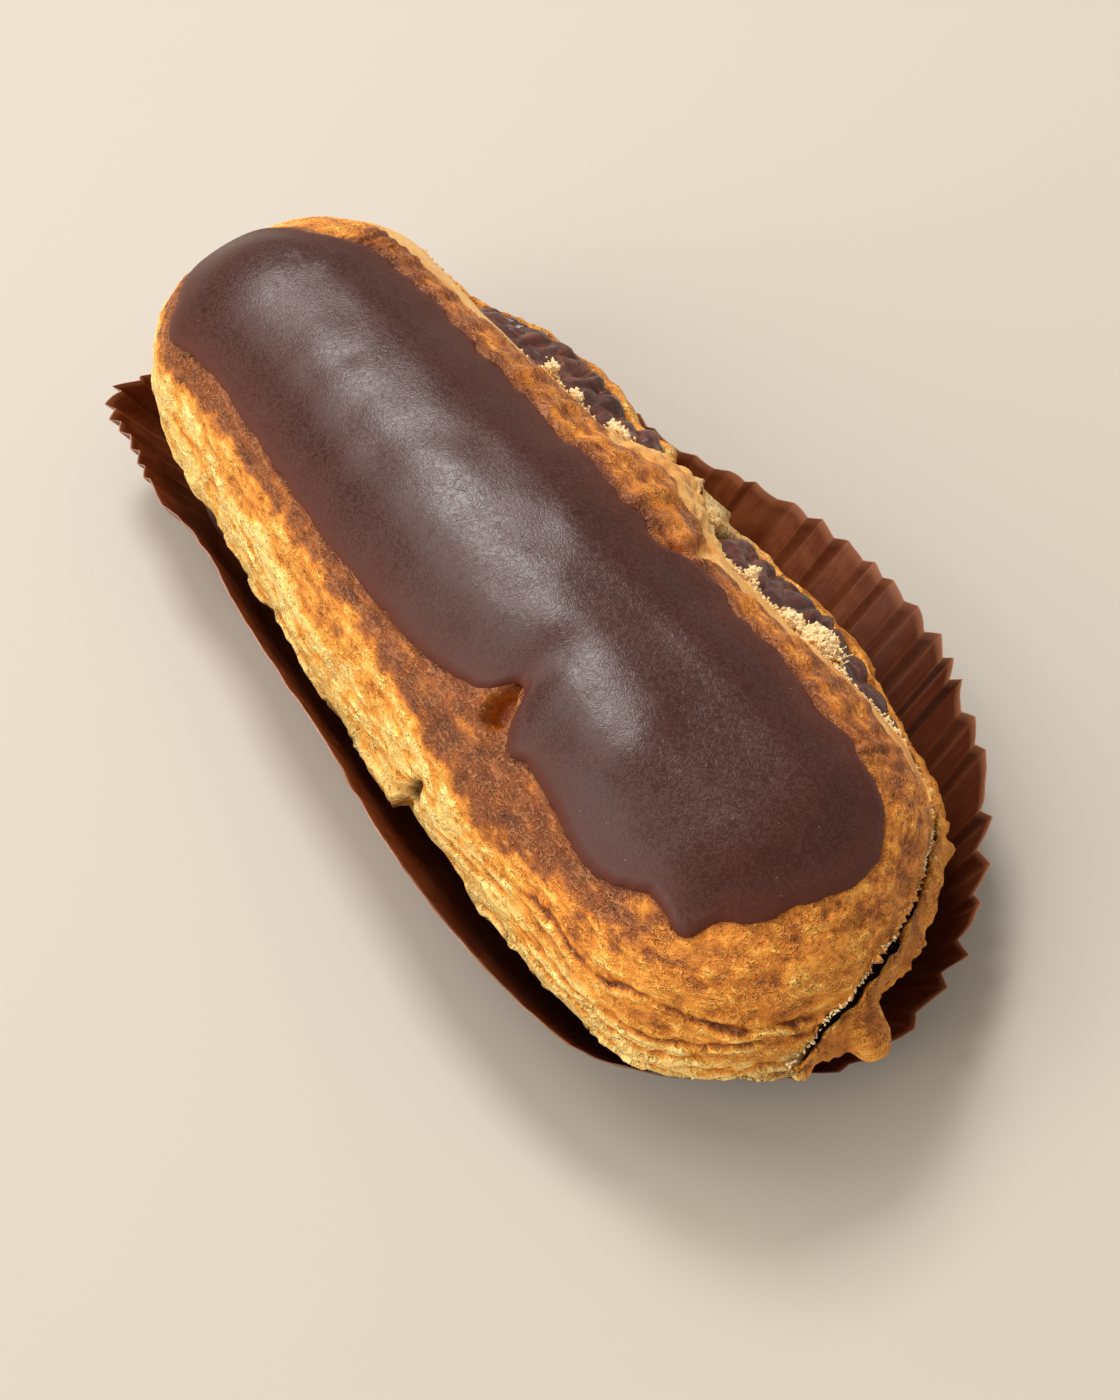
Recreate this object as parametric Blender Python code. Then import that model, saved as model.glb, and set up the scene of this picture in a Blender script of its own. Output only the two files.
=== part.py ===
"""A chocolate eclair in its pleated paper case, standing on the case's flat base.

The choux is one shell: a base and a lid, still joined along the -Y flank and sliced open along
the +Y side. Chocolate cream fills the slice, a glaze lies on the lid, and the case is underneath.
Every outline is a reach, a distance out from one straight spine that runs along X. Each table
below lists a reach or a height at the same 16 stations, anticlockwise seen from above:
the +X tip, its +Y corner, five along the +Y side, the far corner, the -X tip, the other far
corner, five along the -Y side, and the last corner. Between stations a smooth curve runs.
"""

import math

import bmesh
import bpy

MM = 0.001

# Driving sizes, in millimetres
SPINE_HALF_LENGTH = 48.0
SPINE_X, SPINE_Y = -2.1, -4.5     # its middle, which puts the whole part's middle at the origin
CROWN_HEIGHT = 38.2
CROWN_FALL = 2.9        # how much lower the crown is at the -X end
GAP = 0.35
PAPER_THICKNESS = 0.45
GLAZE_THICKNESS = 1.7
CHOUX_FOOT = PAPER_THICKNESS + GAP

# The choux: its widest outline, the edge of the lid, the flat underneath and the slice
GIRTH_REACH = (22.5, 20.8, 25.8, 31.4, 30.2, 32, 25.2, 22.4, 20, 21.5, 22, 24.5, 27, 28, 28.5, 26.2)
GIRTH_HEIGHT = (17, 18, 18, 18, 18, 18, 19, 19, 18.5, 18, 16, 16, 16, 16, 16, 16.5)
LID_REACH = (19, 18, 21.4, 20.6, 22.5, 21.3, 21.2, 21.5, 20, 21.5, 22, 24.5, 27, 28, 28.5, 26)
SPRING_HEIGHT = (17, 14, 13, 13, 13, 13, 13, 15, 18, 18, 16, 16, 16, 16, 16, 16.5)
FOOT_REACH = (3, 8, 15, 17, 16, 16, 13, 6, 2, 6, 12, 15, 17, 18, 16, 7)
SLICE_DEPTH = (2.6, 4.5, 12, 18, 18, 16, 4, 1, 0, 0, 0, 0, 0, 0, 0, 0)
LID_TRIM = 0.1          # how much of the lid's arch the slice cuts off where it is full
FULL_SLICE = 5.0        # the depth from which the slice has its whole height
SLICE_HEIGHT = 6.0      # between the lid's underside and the base, inside
LIP_WIDTH = 2.6         # the base's wall beside the slice
LIP_RISE = 1.6          # how far that wall stands above the base's inner floor
LID_WALL = 1.2          # the rounding of the lid's cut edge
PILLAR_X, PILLAR_WIDTH = -2.0, 6.0      # where the base's wall rises to the lid
PILLAR_OUT, PILLAR_DROP = 1.3, 1.6      # its top, outside the lid's edge and below it
CRUST_FULLNESS = 2.3    # over 2 is squarer than an ellipse
HULL_FULLNESS = 1.35

# The glaze's outline on the lid, and the two faults in it, given by station: a burst bubble and a run
GLAZE_REACH = (14.4, 13.6, 12, 12.9, 11.3, 11.8, 11, 11, 16.4, 17.3, 17, 18.5, 19.8, 19.5, 19.8, 17)
GLAZE_WAVES = ((31, 0.35), (13, 0.4))     # how many round the edge, and how high
BUBBLE, BUBBLE_WIDTH, BUBBLE_DEPTH = 12.88, 0.11, 5.0
RUN, RUN_WIDTH, RUN_LENGTH = 14.5, 0.14, 2.0

# The cream: the stations between which it fills the slice, and its piped ridges
FILLED = (1.2, 5.8)
RIDGE_PITCH, RIDGE_HEIGHT = 5.2, 0.7

# The paper case
CASE_FLOOR_REACH = (9.5, 15, 20, 23, 23, 22, 18, 13, 8.5, 15, 19, 21, 22, 22.5, 21.5, 17)
CASE_RIM_REACH = (24, 25.5, 34.5, 42, 38, 33.5, 29, 22, 17, 25, 29, 28.5, 31, 33.5, 31.5, 23.8)
CASE_RIM_HEIGHT = (10, 11, 14, 14, 14, 13, 12, 10, 9, 12, 17, 17, 17, 17, 16, 12)
PLEAT_DEPTH = (0.4, 1.0, 1.1, 1.1, 1.1, 0.8, 0.7, 0.8, 0.7, 1.0, 0.8, 0.15, 0.1, 0.1, 0.1, 0.15)
PLEATS = 72
WALL_BULGE = 0.8

STATIONS = len(GIRTH_REACH)


def clear_scene():
    for thing in list(bpy.data.objects):
        bpy.data.objects.remove(thing)


def material(name, colour, roughness, coat=0.0):
    made = bpy.data.materials.new(name)
    made.use_nodes = True
    shader = made.node_tree.nodes["Principled BSDF"]
    shader.inputs["Base Color"].default_value = (*colour, 1.0)
    shader.inputs["Roughness"].default_value = roughness
    shader.inputs["Metallic"].default_value = 0.0
    shader.inputs["Coat Weight"].default_value = coat
    return made


def around(table, station):
    """The table's value at any place round the eclair, on a smooth closed curve (Catmull-Rom)."""
    first = math.floor(station)
    t = station - first
    a, b, c, d = (table[(first + step) % STATIONS] for step in (-1, 0, 1, 2))
    bend = 2 * a - 5 * b + 4 * c - d + t * (3 * (b - c) + d - a)
    return b + 0.5 * t * (c - a + t * bend)


def spine_foot(station):
    """The spine's point under a station and the outward direction there, as (x, turn in radians)."""
    station %= STATIONS
    if station < 2:
        return SPINE_HALF_LENGTH, station * math.pi / 4
    if station < 6:
        return SPINE_HALF_LENGTH * (4 - station) / 2, math.pi / 2
    if station < 10:
        return -SPINE_HALF_LENGTH, math.pi / 2 + (station - 6) * math.pi / 4
    if station < 14:
        return SPINE_HALF_LENGTH * (station - 12) / 2, -math.pi / 2
    return SPINE_HALF_LENGTH, -math.pi / 2 + (station - 14) * math.pi / 4


def place(station, reach, height):
    """A point in metres, the reach out from the spine and the height above the table."""
    x, turn = spine_foot(station)
    return (
        MM * (SPINE_X + x + reach * math.cos(turn)),
        MM * (SPINE_Y + reach * math.sin(turn)),
        MM * height,
    )


def stations(count, first=0.0, last=STATIONS):
    return [first + (last - first) * i / count for i in range(count)]


def bell(distance, width):
    return math.exp(-((distance / width) ** 2))


def slice_share(station):
    """From 0 where lid and base are one crust to 1 where the slice has its whole height."""
    return min(1.0, max(0.0, around(SLICE_DEPTH, station)) / FULL_SLICE)


def pillar_share(station):
    """1 at the middle of the pillar, where the base's wall closes the slice, and 0 away from it."""
    x, turn = spine_foot(station)
    return bell(x - PILLAR_X, PILLAR_WIDTH) if turn == math.pi / 2 else 0.0


def mixed(share, first, second):
    """The point that share leads from the first to the second."""
    return tuple(a + share * (b - a) for a, b in zip(first, second))


def lid_height(station, reach):
    """The lid's outside: a rounded arch from the crown to the line where it would spring."""
    share = slice_share(station)
    girth, girth_height = around(GIRTH_REACH, station), around(GIRTH_HEIGHT, station)
    spring = girth + share * (around(LID_REACH, station) / (1 - LID_TRIM * share**2) - girth)
    spring_height = girth_height + share * (around(SPRING_HEIGHT, station) - girth_height)
    part = min(1.0, max(0.0, reach / spring))
    arch = (1 - part**CRUST_FULLNESS) ** (1 / CRUST_FULLNESS)
    far_share = 0.5 - 0.5 * spine_foot(station)[0] / SPINE_HALF_LENGTH
    crown = CROWN_HEIGHT - CROWN_FALL * far_share**3
    return spring_height + (crown - spring_height) * arch


def slice_profile(station):
    """The slice's section: lid edge, roof, back, floor, lip, as (reach, height) from lid to base."""
    share = slice_share(station)
    depth = max(0.0, around(SLICE_DEPTH, station))
    girth, girth_height = around(GIRTH_REACH, station), around(GIRTH_HEIGHT, station)
    edge = girth + share * (around(LID_REACH, station) - girth)
    edge_height = lid_height(station, edge)
    roof = edge_height - share * LID_WALL
    floor = min(roof - share * SLICE_HEIGHT, girth_height - share * LIP_RISE)
    inner_lip = girth - share * LIP_WIDTH
    back = edge - depth
    pillar = pillar_share(station)
    pillar_top = (edge + PILLAR_OUT, edge_height - PILLAR_DROP)
    lip = (girth - 0.45 * share * LIP_WIDTH, girth_height + 0.25 * share * LIP_RISE)
    return {
        "edge": (edge, edge_height),
        "roof_outer": (edge - share * LID_WALL, roof),
        "roof_middle": (edge - 0.5 * depth, roof),
        "back": (back, 0.5 * (roof + floor)),
        "floor_middle": (edge - 0.5 * depth, floor),
        "floor_outer": mixed(pillar, (inner_lip, floor), (edge + 0.3 * PILLAR_OUT, floor)),
        "lip": mixed(pillar, lip, pillar_top),
        "girth": (girth, girth_height - share * LIP_RISE),
    }


def object_from(name, mesh_data, look):
    mesh = bpy.data.meshes.new(name)
    mesh_data.to_mesh(mesh)
    mesh_data.free()
    mesh.shade_smooth()
    mesh.set_sharp_from_angle(angle=math.radians(50))
    mesh.materials.append(look)
    made = bpy.data.objects.new(name, mesh)
    bpy.context.scene.collection.objects.link(made)
    return made


def skin_between(data, rings):
    """Four-sided faces between each ring and the next."""
    for lower, upper in zip(rings, rings[1:]):
        for i in range(len(lower)):
            j = (i + 1) % len(lower)
            data.faces.new((lower[i], lower[j], upper[j], upper[i]))


def closed_shape(name, rings, look, capped=False):
    """A closed body from rings of points; with no caps, the end rings close on themselves."""
    data = bmesh.new()
    rows = [[data.verts.new(point) for point in ring] for ring in rings]
    skin_between(data, rows)
    if capped:
        data.faces.new(rows[0])
        data.faces.new(rows[-1])
    bmesh.ops.remove_doubles(data, verts=data.verts, dist=1e-6)
    bmesh.ops.dissolve_degenerate(data, edges=data.edges, dist=1e-6)
    bmesh.ops.triangulate(data, faces=data.faces)
    bmesh.ops.recalc_face_normals(data, faces=data.faces)
    return object_from(name, data, look)


def choux_shell(look):
    """The two crusts and the slice between them as one skin, from the crown to the underside."""
    columns = stations(80)
    arch_steps, hull_steps = 8, 4
    rings = []
    for step in range(arch_steps):
        lean = 0.5 * math.pi * step / arch_steps
        ring = []
        for station in columns:
            edge, _ = slice_profile(station)["edge"]
            reach = edge * math.sin(lean) ** (2 / CRUST_FULLNESS)
            ring.append(place(station, reach, lid_height(station, reach)))
        rings.append(ring)
    names = list(slice_profile(0.0))
    for name in names:
        rings.append([place(s, *slice_profile(s)[name]) for s in columns])
    for step in range(1, hull_steps + 1):
        drop = step / hull_steps
        ring = []
        for station in columns:
            girth, girth_height = slice_profile(station)["girth"]
            foot = around(FOOT_REACH, station)
            reach = foot + (girth - foot) * (1 - drop**HULL_FULLNESS)
            height = girth_height + drop * (CHOUX_FOOT - girth_height)
            ring.append(place(station, reach, height))
        rings.append(ring)
    rings.append([place(s, 0.0, CHOUX_FOOT) for s in columns])
    return closed_shape("choux_shell", rings, look)


def chocolate_filling(look):
    """The cream in the slice: a band that follows it, with piped ridges on the side that shows."""
    first, last = FILLED
    columns = stations(96, first, last) + [last]
    loops = []
    for station in columns:
        cut = slice_profile(station)
        x, turn = spine_foot(station)
        along = x if turn == math.pi / 2 else x + 26 * math.cos(turn)
        ridge = RIDGE_HEIGHT * math.sin(2 * math.pi * along / RIDGE_PITCH)
        top, bottom = cut["roof_outer"][1] - GAP, cut["floor_outer"][1] + GAP
        mouth, lip = cut["roof_outer"][0], cut["floor_outer"][0] - GAP
        swell = 0.5 * (mouth + lip)
        back = cut["back"][0] + 1.5
        middle = cut["floor_middle"][0]
        loops.append(
            [
                place(station, back, 0.5 * (top + bottom)),
                place(station, middle, bottom),
                place(station, lip, bottom),
                place(station, lip - 0.4, bottom + 0.35 * (top - bottom) + 0.3 * ridge),
                place(station, swell, top - 0.22 * (top - bottom) + ridge),
                place(station, mouth, top),
                place(station, middle, top),
            ]
        )
    return closed_shape("chocolate_filling", loops, look, capped=True)


def glaze_edge(station):
    reach = around(GLAZE_REACH, station)
    for waves, height in GLAZE_WAVES:
        reach += height * math.sin(2 * math.pi * waves * station / STATIONS)
    reach -= BUBBLE_DEPTH * bell(station - BUBBLE, BUBBLE_WIDTH)
    return reach + RUN_LENGTH * bell(station - RUN, RUN_WIDTH)


def chocolate_glaze(look):
    """The glaze: a skin on the lid, of even thickness, that rounds off at its uneven edge."""
    columns = stations(112)
    shares = (0.0, 0.35, 0.62, 0.82, 0.95)
    rings = [
        [
            place(s, f * glaze_edge(s), lid_height(s, f * glaze_edge(s)) + GAP + GLAZE_THICKNESS)
            for s in columns
        ]
        for f in shares
    ]
    rings.append(
        [
            place(s, glaze_edge(s), lid_height(s, glaze_edge(s)) + GAP + 0.5 * GLAZE_THICKNESS)
            for s in columns
        ]
    )
    for f in (0.97, 0.82, 0.62, 0.35, 0.0):
        ring = []
        for s in columns:
            reach = f * glaze_edge(s)
            ring.append(place(s, reach, lid_height(s, reach) + GAP))
        rings.append(ring)
    return closed_shape("chocolate_glaze", rings, look)


def paper_case(look):
    """One sheet of paper: a flat oval base and a leaning wall that is pleated all round."""
    columns = stations(2 * PLEATS)

    def wall(share, inside):
        ring = []
        for index, station in enumerate(columns):
            floor, rim = around(CASE_FLOOR_REACH, station), around(CASE_RIM_REACH, station)
            fold = share * around(PLEAT_DEPTH, station) * (0.5 if index % 2 else -0.5)
            reach = floor + (rim - floor) * share**WALL_BULGE + fold
            height = share * around(CASE_RIM_HEIGHT, station)
            if inside:
                reach -= PAPER_THICKNESS
                height = max(height, PAPER_THICKNESS)
            ring.append(place(station, reach, height))
        return ring

    rings = [[place(s, 0.0, 0.0) for s in columns]]
    rings += [wall(share, inside=False) for share in (0.0, 0.5, 1.0)]
    rings += [wall(share, inside=True) for share in (1.0, 0.5, 0.0)]
    rings.append([place(s, 0.0, PAPER_THICKNESS) for s in columns])
    return closed_shape("paper_case", rings, look)


def main():
    clear_scene()
    choux_shell(material("baked_choux", (0.62, 0.33, 0.10), 0.6))
    chocolate_filling(material("chocolate_cream", (0.06, 0.025, 0.02), 0.35))
    chocolate_glaze(material("chocolate_glaze", (0.05, 0.024, 0.018), 0.35, coat=0.2))
    paper_case(material("brown_paper", (0.10, 0.035, 0.015), 0.5))


main()
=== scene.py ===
"""A chocolate eclair in its pleated paper case: its crust, cream, glaze, crumbs, paper, light and camera.

Sizes are in millimetres until a piece is made, and in metres from there on. Every outline is a reach,
a distance out from one straight spine along X, listed at 16 stations round the eclair: the +X tip,
its +Y corner, five along the +Y side, the far corner, the -X tip, the other far corner, five along
the -Y side, and the last corner. Between stations a smooth curve runs.
"""

import itertools
import math

import bmesh
import bpy
import numpy as np
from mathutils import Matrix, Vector


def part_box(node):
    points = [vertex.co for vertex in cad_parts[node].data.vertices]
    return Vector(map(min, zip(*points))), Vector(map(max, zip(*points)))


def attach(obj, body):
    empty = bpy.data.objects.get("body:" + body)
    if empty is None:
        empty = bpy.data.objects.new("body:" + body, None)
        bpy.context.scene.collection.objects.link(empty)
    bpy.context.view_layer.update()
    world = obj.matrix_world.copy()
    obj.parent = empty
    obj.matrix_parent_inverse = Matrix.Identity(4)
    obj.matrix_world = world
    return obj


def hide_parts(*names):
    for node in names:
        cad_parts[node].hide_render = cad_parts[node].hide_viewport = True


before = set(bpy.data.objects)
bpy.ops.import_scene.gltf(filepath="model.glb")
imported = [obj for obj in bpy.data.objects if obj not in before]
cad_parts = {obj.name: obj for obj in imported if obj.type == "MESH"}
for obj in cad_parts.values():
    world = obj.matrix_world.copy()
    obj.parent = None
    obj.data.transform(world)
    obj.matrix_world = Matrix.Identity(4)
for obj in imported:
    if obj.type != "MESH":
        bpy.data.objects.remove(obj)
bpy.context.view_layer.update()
MM = 0.001

# The choux, as in the frame: its spine, widest outline, lid, flat underneath and slice
SPINE_HALF_LENGTH = 48.0
CROWN_HEIGHT, CROWN_X, FAR_FALL, NEAR_FALL = 38.2, 10.0, 3.1, 2.2
GIRTH_REACH = (22.5, 20.8, 25.8, 31.4, 30.2, 32, 25.2, 22.4, 20, 21.5, 22, 24.5, 27, 28, 28.5, 26.2)
GIRTH_HEIGHT = (17, 18, 18, 18, 18, 18, 19, 19, 18.5, 18, 16, 16, 16, 16, 16, 16.5)
SPRING_HEIGHT = (17, 14, 13, 13, 13, 13, 13, 15, 18, 18, 16, 16, 16, 16, 16, 16.5)
FOOT_REACH = (3, 8, 15, 17, 16, 16, 13, 6, 2, 6, 12, 15, 17, 18, 16, 7)
SLICE_DEPTH = (2.6, 4.5, 12, 18, 18, 16, 4, 1, 0, 0, 0, 0, 0, 0, 0, 0)
LID_TRIM, FULL_SLICE, SLICE_HEIGHT = 0.1, 5.0, 6.0       # FULL_SLICE is the depth that opens it fully
LIP_WIDTH, LIP_RISE, LID_WALL = 2.6, 1.6, 1.2
CRUST_FULLNESS, HULL_FULLNESS = 2.3, 1.35
CHOUX_FOOT = 0.8
STATIONS = len(GIRTH_REACH)
STATION_LENGTH = 24.0       # between two stations along the straight sides

# Finer outlines where lid and base are apart, as (station, reach)
LID_OUTLINE = (
    (0, 19.3), (0.3, 18.5), (0.6, 17.8), (0.9, 17.9), (1.2, 18.9), (1.5, 19.9), (1.8, 20.7), (2.2, 21.8),
    (2.5, 21.5), (2.8, 20.8), (3.2, 21.0), (3.45, 21.0), (3.6, 22.0), (3.8, 24.3), (3.95, 25.4),
    (4.1, 25.0), (4.25, 23.4), (4.4, 21.8), (4.6, 21.2), (4.9, 21.5), (5.2, 21.0), (5.6, 20.9),
    (6, 21.2), (7, 21.5), (8, 20), (9, 21.5), (14, 28.5), (15, 25.8), (15.3, 24.4), (15.5, 22.9),
    (15.7, 21.7), (15.85, 20.4),
)
BASE_OUTLINE = (
    (0, 21.8), (0.2, 20.7), (0.6, 20.2), (1, 21.3), (1.5, 23.6), (2, 26.1), (2.4, 28.8), (2.8, 31.0),
    (3.2, 30.8), (3.6, 30.4), (4, 30.2), (4.3, 30.3), (4.38, 31.4), (4.45, 31.6), (4.5, 30.8),
    (4.8, 31.6), (5, 31.9), (5.3, 31.0), (5.6, 28.6), (6, 25.0), (6.5, 23.6), (7, 22.4), (8, 20),
    (9, 21.5), (14, 28.4), (14.5, 27.3), (15.1, 26.2), (15.5, 25.0), (15.7, 23.9), (15.8, 24.5),
    (15.87, 24.9), (15.93, 23.8), (15.98, 22.2),
)
# How far the torn crumb stands out under the lid's edge, as (station, millimetres)
CRUMB_REACH = (
    (0, 0.2), (1.9, 0.2), (2.2, 0.6), (2.45, 0.6), (2.56, 1.4), (2.65, 3.0), (2.76, 3.6), (2.86, 3.2),
    (2.97, 1.8), (3.1, 0.8), (3.22, 1.1), (3.29, 2.0), (3.37, 0.8), (3.55, 0.3), (4.2, 0.3), (4.33, 1.3),
    (4.48, 1.4), (4.6, 0.5), (4.76, 0.8), (4.88, 0.4), (5.02, 1.4), (5.1, 0.5), (5.4, 0.2), (7, 0.1),
    (15, 0.1),
)
PILLAR_FIRST, PILLAR_LAST = 3.64, 4.27      # where the base's wall rises to the lid and closes the slice
# The slit round the near end, where that wall stops just short of the lid, as (station, width);
# stations past 16 go on round the ring
SLIT_WIDTH = (
    (15.3, 0.0), (15.6, 0.2), (15.75, 0.4), (15.9, 0.3), (16.0, 0.9), (16.1, 0.7), (16.2, 1.0),
    (16.32, 0.5), (16.45, 0.2), (16.6, 0.5), (16.8, 0.3), (17.0, 0.1), (17.5, 0.1), (20, 0.0), (30, 0.0),
)

# The browned band beside the glaze on the +Y side: the reach at which it drops to the smooth side strip
BAND_OUTLINE = (
    (1.2, 19), (1.8, 17.6), (2.1, 17.4), (2.3, 18.3), (2.55, 17.6), (2.75, 17.0), (2.95, 16.8), (3.1, 15.8),
    (3.25, 16.0), (3.36, 14.6), (3.45, 17.4), (3.6, 18.6), (3.72, 18.0), (3.85, 19.4), (4.0, 18.4),
    (4.12, 17.6), (4.2, 16.2), (4.3, 17.8), (4.5, 18.4), (4.7, 18.6), (4.9, 18.1), (5.1, 17.4),
    (5.3, 16.3), (5.6, 15.8), (6, 15.2), (6.6, 16), (7.5, 19), (15, 19),
)

# The glaze's edge on the lid as (station, reach), with the burst bubble at 12.84 and the run at 14.5
GLAZE_OUTLINE = (
    (0, 13.6), (0.4, 13.6), (0.9, 13.1), (1.2, 12.7), (1.5, 11.9), (1.8, 11.4), (2.06, 12.0),
    (2.18, 11.3), (2.5, 12.7), (2.64, 12.9), (2.9, 12.3), (3.08, 13.1), (3.28, 13.2), (3.37, 11.6),
    (3.5, 10.7), (3.62, 11.5), (3.74, 10.8), (3.9, 11.2), (4.08, 11.9), (4.24, 10.9), (4.4, 11.2),
    (4.56, 12.0), (4.7, 11.6), (4.85, 12.2), (5.05, 11.6), (5.2, 12.4), (5.35, 12.0), (5.5, 12.6),
    (5.75, 11.9), (6, 11.3), (6.3, 10.0), (6.6, 9.4), (7, 9.2), (7.3, 10.0), (7.6, 12.2), (8, 16.0),
    (8.5, 18.0), (8.9, 17.5), (9.13, 17.3), (9.28, 18.0), (9.4, 18.5), (9.7, 17.0), (10.15, 16.3),
    (10.5, 17.2), (11, 18.3), (11.4, 19.4), (12, 19.9), (12.3, 19.8), (12.6, 18.5), (12.74, 17.0),
    (12.82, 14.3), (12.87, 14.4), (12.95, 17.8), (13.05, 19.8), (13.15, 19.2), (13.4, 20.0),
    (13.86, 20.6), (14.07, 18.3), (14.3, 18.6), (14.47, 19.4), (14.54, 19.1), (14.64, 17.3), (15, 15.8),
    (15.4, 13.8),
)
GLAZE_THICKNESS, GLAZE_SWELL, GLAZE_BEAD, GLAZE_LIFT, GLAZE_SINK = 0.8, 0.7, 1.3, 0.2, 0.7
LOBE_LENGTH = 6.2           # of the lobes that cut its edge on the +Y side

# Where the browning ends on the crust, as (station, height), and the dark patches beside the glaze,
# each as (station, reach, half its length in stations, half its width in millimetres, strength)
SHOULDER_HEIGHT = (
    (0, 22), (1, 24), (2, 27), (6, 29), (9, 30), (10, 27.2), (10.4, 25.4), (11, 24.6), (12.1, 24.8),
    (12.4, 25.8), (12.76, 27.6), (13.1, 26), (13.5, 24.2), (14.2, 22.6), (15, 20),
)
DARK_PATCHES = (
    (12.66, 22.6, 0.16, 2.2, 0.85), (13.0, 23.2, 0.16, 2.0, 0.85), (13.5, 23.0, 0.22, 1.5, 0.80),
    (12.2, 21.6, 0.20, 1.2, 0.75), (14.2, 21.8, 0.20, 1.3, 0.62), (14.8, 20.5, 0.16, 1.2, 0.55),
    (1.45, 15.4, 0.35, 1.8, 0.62), (0.85, 15.8, 0.40, 1.8, 0.58), (15.6, 17.5, 0.25, 1.2, 0.5),
)
# The crust's long torn folds, each as (first station, last station, height, how far it winds, depth)
FOLDS = (
    (13.3, 15.45, 24.6, 1.3, 0.65), (13.7, 15.6, 20.0, 1.0, 0.95), (13.1, 15.75, 15.6, 1.0, 0.9),
    (14.6, 15.7, 17.0, 0.5, 0.45), (14.9, 15.75, 13.4, 0.4, 0.5), (13.9, 16.3, 11.2, 0.6, 0.45),
    (13.2, 15.5, 22.2, 0.9, 0.5), (13.5, 15.6, 17.9, 0.8, 0.6), (12.55, 13.7, 19.6, 0.8, 0.7),
    (12.6, 13.5, 14.0, -0.8, 0.9), (9.9, 12.3, 20.5, 0.9, 0.5), (9.7, 12.2, 14.5, -0.8, 0.7),
    (0.2, 1.9, 24.2, 0.5, 0.5), (0.6, 2.3, 14.5, 0.4, 0.6), (2.0, 5.0, 13.0, 0.5, 0.4),
    (4.8, 8.6, 14.0, 1.0, 0.5),
)
# How far out the dark browning beside the glaze reaches, as (station, reach)
TOAST_OUTLINE = (
    (0, 15.6), (0.6, 15.4), (1.2, 14.6), (2, 13.2), (3, 13.4), (4, 12.6), (5, 13.0), (6, 12.2), (7, 10.4),
    (8, 17.4), (8.9, 19.2), (9.4, 20.2), (10.1, 18.9), (11, 21.0), (11.6, 22.2), (12.1, 23.4), (12.5, 24.4),
    (12.8, 25.2), (13.1, 25.6), (13.5, 25.0), (13.9, 24.0), (14.3, 23.4), (14.7, 21.6), (15.2, 18.0),
)

# Round swells of the glaze, each as (x, y, how far it's drawn out along x, width, rise)
GLAZE_SWELLS = (
    (34.0, -12.5, 1.6, 7.0, 0.95), (-8.0, -6.0, 1.0, 9.0, 0.4), (-50.7, 1.3, 1.0, 2.0, -0.06),
    (-45.1, 4.6, 1.0, 1.8, -0.08), (-31.9, -3.3, 1.0, 1.7, -0.12),
)
# The torn tab under the near end's slit: its middle, and half its length in stations and its height
TAB_STATION, TAB_HEIGHT, TAB_LENGTH, TAB_RISE = 15.90, 15.8, 0.155, 1.5

# The paper case; pleats are counted from the first station to each of these
CASE_FLOOR_REACH = (9.5, 15, 20, 23, 23, 22, 18, 13, 8.5, 15, 19, 21, 22, 22.5, 21.5, 17)
CASE_RIM = (
    (0, 24.0), (0.4, 23.9), (0.8, 24.9), (1.2, 26.5), (1.5, 28.6), (1.8, 31.8), (2.05, 35.3), (2.3, 38.1),
    (2.55, 40.6), (2.8, 41.9), (3.1, 42.2), (3.4, 41.7), (3.7, 40.5), (4.07, 37.4), (4.45, 34.0),
    (5, 33.0), (6, 29), (7, 22), (8, 17), (8.6, 19.5), (8.91, 23.5), (9.14, 28.2), (9.3, 28.3),
    (9.5, 26.9), (9.7, 26.0), (9.96, 26.6), (10.2, 27.2), (10.5, 26.8), (11.13, 29.1), (12, 31),
    (13, 33.5), (14, 31.8), (15, 23.8),
)
CASE_RIM_HEIGHT = (11, 12, 14, 14, 14, 13, 12, 10, 9, 12, 14, 16, 17, 17, 16, 12)
PLEAT_DEPTH = (1.3, 1.9, 2.0, 1.5, 1.0, 0.9, 0.8, 0.8, 1.0, 1.8, 0.8, 0.15, 0.1, 0.1, 0.1, 0.3)
PLEAT_COUNT = (0, 3.2, 7, 12.4, 17.6, 22.6, 28, 32, 35, 42, 49, 52, 56, 60, 64, 68, 72)
WALL_BULGE, PAPER_THICKNESS, PLEAT_FOLD = 0.8, 0.15, 0.72

# Colours, as linear red, green and blue
PALE_GOLD = (1.0, 0.64, 0.195)
GOLD = (0.93, 0.40, 0.058)
ORANGE_CRUST = (0.70, 0.235, 0.029)
BROWN_CRUST = (0.30, 0.083, 0.017)
DARK_CRUST = (0.13, 0.034, 0.012)
# Painted shade for the inside of the near end's slit and for the crack
PAINTED_SHADE_CRUST = (0.09, 0.030, 0.010)
# Painted shade in the pores
PORE_SHADE = (0.60, 0.20, 0.028)
THREAD = (0.50, 0.21, 0.075)
TAN = (0.80, 0.46, 0.14)
CRUMB = (0.97, 0.74, 0.40)
AMBER = (0.26, 0.045, 0.003)
PALE_AMBER = (0.42, 0.12, 0.010)
CHOCOLATE = (0.038, 0.0075, 0.0040)
CLOUDED_CHOCOLATE = (0.066, 0.0145, 0.0085)
BLOOMED_CHOCOLATE = (0.115, 0.048, 0.038)
THIN_CHOCOLATE = (0.098, 0.019, 0.0075)
SUGAR_SPECK = (0.42, 0.31, 0.25)
CREAM = (0.060, 0.017, 0.012)
RED_CREAM = (0.15, 0.042, 0.024)
PAPER = (0.185, 0.046, 0.012)
DARK_PAPER = (0.115, 0.021, 0.003)
# Painted shadow on the case's wall at its +X end
SHADOWED_PAPER = (0.048, 0.0075, 0.0016)
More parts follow.
